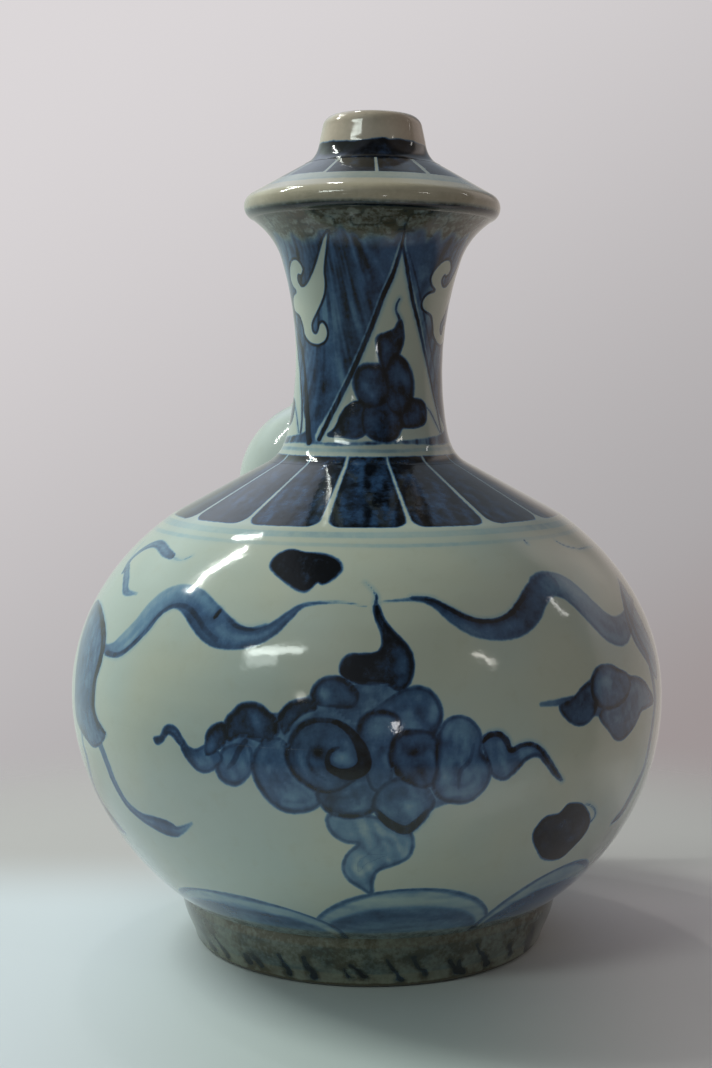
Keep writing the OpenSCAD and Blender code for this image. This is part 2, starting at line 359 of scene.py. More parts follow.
def outlineOn(outline, view):
    # a closed outline in pixels laid on the pot: angle, run and the mm of one of its pixels
    angle, run, scale = pixelsToPot(fromView(smoothPath(outline, closed=True, steps=5), view))
    return angle, run, float(np.median(scale)) / (view["scale"] if view else 1.0)


def brushMarks(x, y, d, bearing, seed):
    # half of the marks bend along the edge in bands, the other half are slanted hatching
    wander = streaks(x / inkwork["wanderPitch"], y / inkwork["wanderPitch"], seed)
    bands = streaks(bearing * inkwork["spokes"], -d / inkwork["bandPitch"] + inkwork["bandWander"] * wander, seed,
                    inkwork["spokes"])
    slant = inkwork["hatchSlant"]
    hatch = streaks((x + slant * y) / inkwork["hatchWide"], (y - slant * x) / inkwork["hatchLong"], seed + 3.0)
    return 0.5 * bands + 0.5 * hatch


def lobe(sheet, outline, tone, turns=(0.0,), edge=0.0, edgeTone=0.8, spots=(), view=None, heavy=None, crisp=1.5):
    # a closed shape in front of what is painted already: its wash with brush marks, soft darker or paler spots
    # (column, row, radius, change) and an outline that swells and thins; heavy is the bearing in degrees, from
    # the right and upwards, of the side where the brush was full
    angle, run, size = outlineOn(outline, view)
    for shift in turns:
        who, d = areaField(sheet, angle + shift, run)
        x = around(sheet["angle"][who] - angle.mean() - shift) * sheet["radius"][who]
        y = sheet["run"][who] - run.mean()
        bearing = np.arctan2(y, x) / fullTurn
        marks = brushMarks(x, y, d, bearing, run[0])
        strength = tone + min(inkwork["markDepth"], 0.9 * (1.05 - tone)) * (marks - 0.5)
        for column, row, radius, change in spots:
            a, s, _ = pixelsToPot(fromView(np.array([[column, row]]), view))
            far = np.hypot(around(sheet["angle"][who] - a - shift) * sheet["radius"][who], sheet["run"][who] - s)
            strength = strength + change * np.exp(-(far / (radius * size)) ** 2)
        sheet["line"][who] = np.maximum(sheet["line"][who], -d)
        layWash(sheet, who, d, np.clip(strength, 0.02, 1.0))
        coverRims(sheet, who, d)
        if edge > 0.0:
            swell = streaks(bearing * inkwork["swells"], bearing * 0.0, run[0] + 5.0, inkwork["swells"])
            if heavy is not None:
                full = ease(np.cos(fullTurn * bearing - math.radians(heavy)), -0.5, 0.7)
                swell = 0.35 * swell + 0.75 * full - 0.1
            layRim(sheet, who, d, edge * size * (0.7 + 0.75 * swell), edgeTone * (0.5 + 0.55 * swell), crisp)


def reserve(sheet, outline, turns=(0.0,), edge=0.0, edgeTone=0.8, view=None):
    # a shape left white: wash and lines are cut away inside it
    angle, run, size = outlineOn(outline, view)
    for shift in turns:
        who, d = areaField(sheet, angle + shift, run)
        for key in ("wash", "line"):
            sheet[key][who] = np.maximum(sheet[key][who], -d)
        coverRims(sheet, who, d)
        if edge > 0.0:
            layRim(sheet, who, d, edge * size, edgeTone, 2.6)


def hoop(sheet, z, half, tone):
    # a line round the pot at one height, as wide as twice half, that wanders and fades a little
    angle = sheet["angle"]
    wander = 0.12 * np.sin(3.0 * angle + z) + 0.07 * np.sin(7.0 * angle)
    d = np.abs(sheet["run"] + wander - np.interp(z, chartZ, chartS)) - half
    layLine(sheet, np.arange(len(angle)), d, tone * (0.8 + 0.2 * np.sin(5.0 * angle + z)))


def meshPiece(name, rows, loop, material, sheet, nodes):
    # rows is a grid of points in mm; columns close round, rows close too when loop, or else end in poles
    count, columns = rows.shape[:2]
    flat = rows.reshape(-1, 3)
    i = np.arange(count if loop else count - 1)[:, None]
    j = np.arange(columns)[None, :]
    k, m = (i + 1) % count, (j + 1) % columns
    quads = np.stack([i * columns + j, i * columns + m, k * columns + m, k * columns + j], -1).reshape(-1, 4)
    corners, sizes = quads.reshape(-1), np.full(len(quads), 4)
    if not loop:
        first, last, top = len(flat), len(flat) + 1, (count - 1) * columns
        flat = np.concatenate([flat, rows[0].mean(0)[None], rows[-1].mean(0)[None]])
        c = np.arange(columns)
        n = (c + 1) % columns
        fans = np.concatenate([np.stack([np.full(columns, first), n, c], 1),
                               np.stack([np.full(columns, last), c + top, n + top], 1)])
        corners = np.concatenate([corners, fans.reshape(-1)])
        sizes = np.concatenate([sizes, np.full(len(fans), 3)])
    mesh = bpy.data.meshes.new(name)
    mesh.vertices.add(len(flat))
    mesh.vertices.foreach_set("co", (np.stack(unevenHand(*flat.T), 1) * mm).astype(np.float32).ravel())
    mesh.loops.add(len(corners))
    mesh.loops.foreach_set("vertex_index", corners.astype(np.int32))
    mesh.polygons.add(len(sizes))
    mesh.polygons.foreach_set("loop_start", (np.cumsum(sizes) - sizes).astype(np.int32))
    mesh.polygons.foreach_set("loop_total", sizes.astype(np.int32))
    mesh.polygons.foreach_set("use_smooth", np.ones(len(sizes), bool))
    mesh.update(calc_edges=True)
    mesh.validate()
    for key in farKeys + toneKeys:
        values = np.full(len(flat), inkwork["farOff"] if key in farKeys else 0.0, np.float32)
        values[:len(sheet[key])] = sheet[key]
        mesh.attributes.new(key, "FLOAT", "POINT").data.foreach_set("value", values)
    piece = bpy.data.objects.new(name, mesh)
    bpy.context.scene.collection.objects.link(piece)
    piece.data.materials.append(material)
    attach(piece, "root")
    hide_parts(*nodes)
    print(name, len(sizes), "faces")
    return piece


def sheetFor(profile, angle, run):
    # a blank painting for the outer rows of a turned grid
    grid = np.meshgrid(angle, run)
    radius = np.repeat(np.maximum(profile[:, 0], 0.5), len(angle))
    sheet = blankSheet(around(grid[0].ravel()), grid[1].ravel(), radius)
    sheet["z"] = np.repeat(profile[:, 1], len(angle))
    return sheet


def turnedPiece(name, outer, inside, columns, paints, material, nodes, loop=True, charted=True):
    # a thrown section: its outside, painted, and its inside are carried round the axis, starting at the
    # camera's side; charted pieces share the body's run along the side
    profile = np.concatenate([outer, inside])
    angle = np.arange(columns) * fullTurn / columns
    across, towards = np.sin(angle)[None, :] * profile[:, :1], -np.cos(angle)[None, :] * profile[:, :1]
    x = across * rightWay[0] + towards * awayWay[0]
    y = across * rightWay[1] + towards * awayWay[1]
    rows = np.stack([x, y, np.repeat(profile[:, 1:2], columns, 1)], -1)
    sheet = sheetFor(outer, angle, np.interp(outer[:, 1], chartZ, chartS) if charted else runAlong(outer))
    for paint in paints:
        paint(sheet)
    return meshPiece(name, rows, loop, material, sheet, nodes)


# shader building: short calls that add one node and give its value
class Wire:
    # a value inside a node tree; sums, differences, products and powers of it become math nodes
    def __init__(self, tree, socket):
        self.tree, self.socket = tree, socket

    def __add__(self, other):
        return calc("ADD", self, other)

    def __sub__(self, other):
        return calc("SUBTRACT", self, other)

    def __rsub__(self, other):
        return calc("SUBTRACT", other, self)

    def __mul__(self, other):
        return calc("MULTIPLY", self, other)

    def __pow__(self, other):
        return calc("POWER", self, other)

    def clamped(self):
        # the math node of this value keeps it between 0 and 1
        self.socket.node.use_clamp = True
        return self


def treeOf(*values):
    # the node tree of the first wire among some values
    return next(value.tree for value in values if isinstance(value, Wire))


def plug(socket, value):
    # a wire is linked to the socket, a constant is set on it
    if isinstance(value, Wire):
        value.tree.links.new(value.socket, socket)
    elif value is not None:
        socket.default_value = value


def calc(kind, a, b=None):
    # one math node on one or two values
    node = treeOf(a, b).nodes.new("ShaderNodeMath")
    node.operation = kind
    for socket, value in zip(node.inputs, (a, b)):
        plug(socket, value)
    return Wire(treeOf(a, b), node.outputs[0])


def ramp(value, low, high, fromLow, fromHigh):
    # smooth change from low to high while value goes from fromLow to fromHigh
    node = value.tree.nodes.new("ShaderNodeMapRange")
    node.interpolation_type = "SMOOTHSTEP"
    for socket, number in zip(node.inputs, (value, fromLow, fromHigh, low, high)):
        plug(socket, number)
    return Wire(value.tree, node.outputs[0])


def grain(place, scale, detail, rough=0.55, stretch=(1, 1, 1)):
    # noise from 0 to 1; scale is in waves per metre
    mapping = place.tree.nodes.new("ShaderNodeMapping")
    plug(mapping.inputs["Vector"], place)
    plug(mapping.inputs["Scale"], stretch)
    node = place.tree.nodes.new("ShaderNodeTexNoise")
    plug(node.inputs["Vector"], Wire(place.tree, mapping.outputs[0]))
    plug(node.inputs["Scale"], scale)
    plug(node.inputs["Detail"], detail)
    plug(node.inputs["Roughness"], rough)
    return Wire(place.tree, node.outputs[0])


def blendColour(factor, a, b, kind="MIX"):
    # colour a, with b over it in one way of blending, by a factor from 0 to 1
    node = treeOf(factor, a, b).nodes.new("ShaderNodeMix")
    node.data_type, node.blend_type = "RGBA", kind
    for key, value in (("Factor", factor), ("A", a), ("B", b)):
        plug(node.inputs[key], value)
    return Wire(treeOf(factor, a, b), node.outputs["Result"])


def along(place, way):
    # how far a place or a direction reaches along a way: their dot product
    node = place.tree.nodes.new("ShaderNodeVectorMath")
    node.operation = "DOT_PRODUCT"
    plug(node.inputs[0], place)
    plug(node.inputs[1], tuple(way))
    return Wire(place.tree, node.outputs["Value"])


def newMaterial(name):
    # a material, its node tree, its surface node and the place on the piece
    material = bpy.data.materials.new(name)
    material.use_nodes = True
    tree = material.node_tree
    place = Wire(tree, tree.nodes.new("ShaderNodeTexCoord").outputs["Object"])
    return material, tree, tree.nodes["Principled BSDF"], place


def colour(r, g, b):
    # the three parts of a colour, and full opacity
    return (r, g, b, 1.0)


glaze = {
    "clear": colour(0.475, 0.51, 0.425), "cool": colour(0.43, 0.50, 0.455), "drab": colour(0.39, 0.39, 0.285),
    # stain colour: grime, darkened so that it also gives painted shade under the flange and round the foot
    "stain": colour(0.085, 0.075, 0.045), "speck": colour(0.03, 0.025, 0.015),
    "edgeSoft": 0.30,                                   # mm over which a brushed edge fades into the glaze
    "edgeRough": 0.3,                                   # mm that the noise pushes an edge about
    "bleed": 0.2, "bleedTo": 1.1,                       # faint halo of a line, and its reach in mm
    "runIn": 1.1, "runFrom": 0.35,                      # outlines run inwards, like ink on wet clay
    "pool": 0.12, "poolFrom": 0.2, "poolTo": 1.8,       # cobalt gathers along a shape's edge
    # noises: waves per metre, detail, roughness
    "edgeGrain": (900.0, 2.0), "blotGrain": (260.0, 4.0, 0.6), "fineGrain": (1100.0, 3.0, 0.6),
    "strokeGrain": (420.0, 3.0, 0.6), "waveGrain": (28.0, 2.0), "skinGrain": (330.0, 4.0, 0.6),
    "peelGrain": (1500.0, 2.0),
    "speckCells": 95.0, "speckRare": 0.72, "speckSize": 0.055, "speckDark": 0.85,
    "specular": 0.5, "coatRough": 0.05, "peel": 0.40, "peelDepth": 0.00012,
    # share of the glaze's light that the cobalt lets through, by strength
    "cobalt": ((0.0, (1.0, 1.0, 1.0)), (0.14, (0.70, 0.85, 1.0)), (0.34, (0.26, 0.455, 0.78)),
               (0.56, (0.095, 0.20, 0.46)), (0.78, (0.036, 0.078, 0.20)), (0.92, (0.017, 0.025, 0.05)),
               (1.0, (0.005, 0.006, 0.010))),
}


def cobaltGlaze(name, clear=glaze["clear"], cool=glaze["cool"], streak=(1.0, 1.0, 0.7), mottle=0.5, speckle=1.0,
                rough=0.085, coat=0.35):
    # white-green glaze over cobalt brushwork: lines and washes come from the piece's own painted distances,
    # noise breaks their edges and strength, and the strength picks how much light the cobalt lets through
    material, tree, surface, place = newMaterial(name)

    def painted(key):
        # one of the piece's own painted values
        node = tree.nodes.new("ShaderNodeAttribute")
        node.attribute_name = key
        return Wire(tree, node.outputs["Fac"])

    soft, half = glaze["edgeSoft"], inkwork["rimHalf"]
    edgeNoise = (grain(place, *glaze["edgeGrain"]) - 0.5) * glaze["edgeRough"]
    blot, fine, wave = (grain(place, *glaze[key]) for key in ("blotGrain", "fineGrain", "waveGrain"))
    strokes = grain(place, *glaze["strokeGrain"], streak)

    lineAt = painted("line") + edgeNoise
    halo = ramp(lineAt, glaze["bleed"], 0.0, 0.0, glaze["bleedTo"])
    line = calc("MAXIMUM", ramp(lineAt, 1.0, 0.0, -soft, soft), halo) * painted("lineTone")
    for key in rimLayers:
        rimAt = painted(key) + edgeNoise
        rim = calc("MINIMUM", ramp(rimAt, 1.0, 0.0, half - soft, half + 1.2 * soft),
                   ramp(rimAt, 0.0, 1.0, -half - glaze["runIn"], -half + glaze["runFrom"]))
        line = calc("MAXIMUM", line, rim * painted("rimTone"))
    line = line * ramp(strokes, 0.74, 1.12, 0.3, 0.7)

    wash = ramp(painted("wash") + edgeNoise * 1.2, 1.0, 0.0, -1.3 * soft, 1.3 * soft)
    pooled = ramp(painted("inner"), glaze["pool"], 0.0, glaze["poolFrom"], glaze["poolTo"])
    patchy = (blot - 0.5) * mottle + (strokes - 0.5) * (mottle * 0.8) + (fine - 0.5) * (mottle * 0.45)
    tone = painted("tone")
    wash = (wash * (tone * (patchy + 1.0) + pooled * tone ** 0.5)).clamped()
    both = (1.0 - (1.0 - wash) * (1.0 - line).clamped()).clamped()

    cobalt = tree.nodes.new("ShaderNodeValToRGB")
    stops = cobalt.color_ramp.elements
    while len(stops) < len(glaze["cobalt"]):
        stops.new(0.5)
    for stop, (position, through) in zip(stops, glaze["cobalt"]):
        stop.position, stop.color = position, colour(*through)
    plug(cobalt.inputs[0], both)

    ground = blendColour(ramp(wave, 0.0, 1.0, 0.35, 0.65), clear, cool)
    ground = blendColour(ramp(blot, 0.0, 0.35, 0.5, 0.8) * 0.6, ground, glaze["drab"])
    # the stain values lay grime and painted shade over the glaze
    dirtAndShade = painted("stain") * ramp(blot * 0.6 + fine * 0.4, 0.55, 1.15, 0.35, 0.62)
    ground = blendColour(calc("MINIMUM", dirtAndShade, 1.0), ground, glaze["stain"])

    cells = tree.nodes.new("ShaderNodeTexVoronoi")            # iron specks, one in some of the cells
    plug(cells.inputs["Scale"], glaze["speckCells"])
    plug(cells.inputs["Randomness"], 1.0)
    plug(cells.inputs["Vector"], place)
    pick = tree.nodes.new("ShaderNodeSeparateColor")
    plug(pick.inputs[0], Wire(tree, cells.outputs["Color"]))
    size = ramp(Wire(tree, pick.outputs[0]), 0.0, glaze["speckSize"], glaze["speckRare"], 1.0)
    speck = calc("LESS_THAN", Wire(tree, cells.outputs["Distance"]), size)
    speck = speck * (Wire(tree, pick.outputs[1]) * (glaze["speckDark"] * speckle))
    painting = blendColour(1.0, ground, Wire(tree, cobalt.outputs[0]), "MULTIPLY")

    ripple = tree.nodes.new("ShaderNodeBump")                 # orange peel of the fired glaze
    skin = grain(place, *glaze["skinGrain"]) * 0.7 + wave * 2.0
    skin = grain(place, *glaze["peelGrain"]) * 0.07 + skin
    plug(ripple.inputs["Strength"], glaze["peel"])
    plug(ripple.inputs["Distance"], glaze["peelDepth"])
    plug(ripple.inputs["Height"], skin + both * 0.12)
    bumped = Wire(tree, ripple.outputs[0])
    for key, value in (("Base Color", blendColour(speck, painting, glaze["speck"])), ("Roughness", rough),
                       ("Specular IOR Level", glaze["specular"]), ("Coat Weight", coat),
                       ("Coat Roughness", glaze["coatRough"]), ("Normal", bumped), ("Coat Normal", bumped)):
        plug(surface.inputs[key], value)
    return material


print("library ready")

# belly painting, traced in pixels of the picture: clouds, ribbons, leaves and seal blots, painted
# from the back to the front, and repeated on the far side
cloud = {
    "under": [(222, 752), (238, 716), (282, 712), (314, 692), (345, 684), (398, 690), (434, 702), (438, 738),
              (470, 748), (476, 788), (436, 808), (405, 822), (370, 810), (330, 804), (288, 798), (256, 772)],
    "tail": [(329, 815), (328, 826), (335, 836), (347, 842.5), (358, 844), (347, 855), (343, 868), (349, 880),
             (361, 888), (372, 894), (373, 881), (378, 871), (392, 866), (408, 858), (413.5, 846), (412, 834),
             (400, 826), (380, 818), (350, 812)],
    "lowLeft": [(253, 759), (253, 772), (258.6, 785.6), (268, 799), (279.7, 808.5), (293, 812), (306, 811.4),
                (318, 806.6), (322, 796), (310, 780), (295, 765), (287, 745), (275, 738), (262, 744)],
    "smallLow": [(216.5, 766), (218.4, 774), (222.3, 780), (230, 783.7), (238, 784), (245, 780), (251, 772),
                 (252, 762), (249, 747), (236, 745), (222, 751)],
    "leftTail": [(154, 739), (157, 744), (162, 741), (165, 735), (169, 733), (175, 738), (181, 747), (187, 758),
                 (194, 767), (203, 772.5), (214, 769), (222, 758), (214, 748), (205, 746), (196, 750), (188, 747),
                 (182, 739), (177, 730), (170.5, 726), (164.5, 729), (161, 737)],
    "leftOne": [(205, 747), (207, 736), (212.7, 727), (222, 724), (226, 727), (228, 734), (224, 743.5), (216.5, 751),
                (207, 755)],
    "leftTwo": [(226, 722.4), (232, 714.8), (239.5, 707), (249, 704.3), (258.6, 706), (268, 713), (276, 720.5),
                (278.7, 730), (274, 738), (262, 741.6), (251, 738), (239.5, 736), (228, 740)],
    "leftThree": [(279.7, 722.4), (280.6, 714.8), (289, 705), (300.7, 700.4), (312, 701.4), (316, 709), (304.5, 713),
                  (293, 722.4), (285.4, 734)],
    "topLeft": [(313, 697.6), (314, 688), (321.7, 680.4), (333, 677.5), (344.7, 680.4), (354, 688), (358, 695.7),
                (352, 707), (331, 706), (318, 704)],
    "middleBand": [(332, 704), (348, 690), (362, 682), (382, 684), (404, 688), (412, 692), (408, 704), (394, 712),
                   (372, 718), (356, 724), (340, 716)],
    "topRight": [(372, 714), (385, 702), (400, 692), (409, 688.5), (418.6, 687), (430, 691), (438, 700.5),
                 (441.6, 712), (440.6, 723.5), (436, 733), (420, 740), (400, 735), (385, 725)],
    "flame": [(374, 606), (376.5, 620), (382, 634), (382.5, 646), (376.5, 653.5), (363, 654.8), (350, 655.6),
              (343, 662), (342, 672), (348, 678), (358, 682), (372, 684), (386, 683), (399, 690), (409, 684),
              (413, 667), (410.5, 653), (403, 641.5), (392, 630), (384, 619), (378.5, 606)],
    "underLeft": [(318, 792), (321.7, 804.7), (331, 812.5), (346.6, 816.5), (362, 815), (374, 810), (382, 798),
                  (377, 782), (365, 772), (350, 779), (335, 787)],
    "arch": [(358, 735), (361, 722), (369, 714.5), (380, 712), (391, 713.5), (399, 720), (398, 734), (394, 750),
             (393, 768), (388, 786), (374, 790), (366, 772), (360, 750)],
    "underRight": [(374, 806), (382, 819), (393.7, 828.7), (407, 832.5), (418.6, 825), (428, 813.4), (434, 800),
                   (424, 785), (405, 777), (386, 784), (376, 795)],
    "swirl": [(391, 756), (393.7, 742.6), (401.4, 733.5), (415, 731.5), (430, 733), (438, 742), (440, 760),
              (437, 780), (425, 787), (412, 783), (402, 777), (394, 768)],
    "rightOne": [(438.7, 737), (441.6, 727), (449, 718.7), (460.7, 716), (472, 720.6), (480, 731), (481.8, 742.6),
                 (481, 752), (489.4, 763.7), (490.4, 775), (484.6, 788.5), (472, 800), (458.8, 803), (445.4, 800),
                 (436, 794), (433, 785), (437, 770), (438, 752)],
    "rightTail": [(482, 741), (487.5, 733.5), (499, 733), (507.6, 739), (510.5, 749), (516, 747.5), (522, 743.6),
                  (531, 742.6), (541, 748), (548, 757), (556, 770), (562, 780), (554, 774), (546, 763), (538, 755),
                  (528, 758), (520, 765.6), (510.5, 775), (503, 779), (493, 775), (488.5, 762)],
    "spiral": [(287, 757), (288.5, 748), (293, 736), (302.6, 724.5), (318, 719.5), (333, 720.5), (346.6, 726),
               (358, 736), (366, 750), (370, 763), (365, 774), (352, 782), (338, 790), (322, 791), (305, 783),
               (293, 772)],
    "curl": [(297, 732, 1.6), (306.5, 724.4, 2.0), (321.7, 720.5, 2.4), (337, 722.4, 3.0), (348.5, 730, 4.0),
             (358, 741.6, 5.5), (363.8, 755, 7.0), (364, 766, 7.5), (355, 773, 7.0), (342.8, 774, 5.5),
             (331, 769, 4.0), (327.5, 761, 3.0), (330, 752, 2.4), (338, 748, 2.0)],
    "shade": [(372, 806, 2.0), (381, 816, 4.0), (392, 825, 5.0), (406, 830, 5.5), (418, 822, 4.5), (428, 811, 3.0)],
}
ribbon = {
    "left": [(104, 649, 4.5), (113, 649.5, 8), (125, 641, 12), (139, 626, 12), (153, 610, 14), (167, 599, 14),
             (181, 596, 14), (194, 603, 16), (205, 617, 18), (218, 630, 18), (236, 637.5, 13), (255, 637, 9.5),
             (272, 629.5, 7.5), (288, 616.5, 5), (303, 605.5, 2.6), (325, 602.5, 1.6), (345, 602.5, 1.0),
             (366, 606.5, 0.6)],
    "leftUnder": [(106, 653), (118, 655), (131, 646), (147, 630), (160, 614), (174, 606), (186, 607), (196, 616),
                  (205, 630), (216, 640)],
    "leftOver": [(226, 616), (236, 626), (250, 629.5), (266, 625)],
    "right": [(380, 602.3, 0.7), (403, 600, 1.6), (421, 599.5, 2.6), (437, 605, 5), (455, 617, 8.5), (474, 627, 10),
              (494, 630, 11), (514, 625, 13.5), (528, 611.5, 15), (537, 594, 14), (549, 583, 13)],
    "rightFar": [(541, 586, 14), (549, 583, 15), (564, 587, 16), (579, 599, 16), (594, 614, 16.5), (608, 627, 17),
                 (620, 630, 15), (628, 618, 9), (631, 598, 4)],
    "rightOver": [(412, 598), (430, 599), (448, 608), (468, 618), (490, 621), (508, 615), (520, 602), (529, 586)],
    "small": [(124, 571, 4), (131.5, 559, 4.5), (145, 548, 4.5), (158, 544, 5.5), (166, 552.5, 5.5), (172, 556.5, 4)],
    "smallLeg": [(127, 566, 4), (126, 580, 5), (126, 592, 4), (137, 594, 1)],
    "smallTail": [(172, 558, 1.6), (182, 560, 1.2), (192, 556, 0.8)],
    "smallHair": [(145.6, 539.5, 0.8), (138, 548, 1.0), (128, 562, 0.8)],
    "farCurl": [(556, 541, 1.4), (566, 546, 1.6), (580, 548.5, 1.5), (592, 546, 1.2)],
}
leaf = {
    "left": [(98, 601), (90, 613), (81, 640), (76, 672), (75, 704), (78, 724), (86, 739), (95, 747), (105, 736),
             (97, 724), (93, 708), (94, 687), (99.5, 662), (102.5, 642), (101.5, 620)],
    "leftVein": [(99, 604, 2.0), (101, 614, 3.2), (103, 630, 4.6), (103, 644, 5.0), (100, 661, 4.6),
                 (95.5, 676, 4.2), (94, 686, 4.2), (93, 700, 4.0), (93.5, 710, 3.6), (97, 722, 3.2),
                 (105, 734, 2.0)],
    "leftStalk": [(98, 740, 5.5), (106, 761, 6), (114, 782, 5.6), (126, 803, 5.4), (141, 817, 6), (155, 824, 9),
                  (169, 829, 10), (179, 831, 5), (192, 823.5, 1.2)],
    "leftFar": [(81, 728, 3.0), (83, 744, 4.0), (86.5, 757, 4.5), (91.5, 779, 5.0), (97, 793, 7.0),
                (102, 804, 8.0), (111, 817, 8.0), (118, 826, 7.0), (125, 833, 2.0)],
    "rightEdge": [(618, 579, 1.6), (626, 607, 2.6), (636, 633, 3.4), (647, 656, 4.4), (654, 690, 5.0),
                  (653, 718, 4.6), (645, 763, 4.6), (634, 789, 6.0), (622, 811, 5.6), (612, 822, 2.2)],
    "rightLeaf": [(620, 582), (633, 604), (646, 632), (654, 655), (656, 678), (646, 660), (634, 640), (625, 612)],
}
blot = {
    "top": [(271, 567), (277, 556), (290, 550), (305, 552.5), (324.5, 555), (337.5, 561), (341, 569), (333, 578.5),
            (323, 584), (317, 582), (306, 591), (294, 587), (281, 578.5)],
    "low": [(533, 836.5), (536, 828), (546, 817), (559.5, 813), (568, 804), (579, 803), (586, 808), (590, 819),
            (585.5, 832), (572.5, 847), (559.5, 858), (544, 858), (536, 847)],
    "loop": [(582, 806, 1.3), (588, 804, 1.3), (594, 808, 1.4), (595, 815, 1.4), (590, 822, 1.3)],
    "fleckOne": [(215, 617, 2.6), (220, 611, 2.8)],
    "fleckTwo": [(523, 538, 1.0), (527, 543, 1.0)],
}
sideCloud = {
    "under": [(566, 704), (580, 690), (593, 676), (610, 666), (630, 675), (645, 684), (652, 700), (640, 712),
              (626, 734), (612, 734), (598, 716), (580, 722), (570, 716)],
    "stem": [(541, 704, 2.2), (555, 702.5, 3.2), (572, 700, 4.0)],
    "first": [(559.5, 707), (568, 719.5), (579, 725), (590, 720), (596, 706), (593, 685), (582, 688), (573.5, 699)],
    "second": [(592, 680), (598.5, 667), (609, 664.5), (618, 670), (627, 674), (630, 687), (622, 702), (606, 708),
               (594, 698)],
    "third": [(618, 700), (628, 680), (636, 677), (645, 683), (653, 700), (646, 707), (641, 710), (635, 724),
              (624.5, 737), (616, 739), (609, 730), (600, 717), (606, 706)],
}


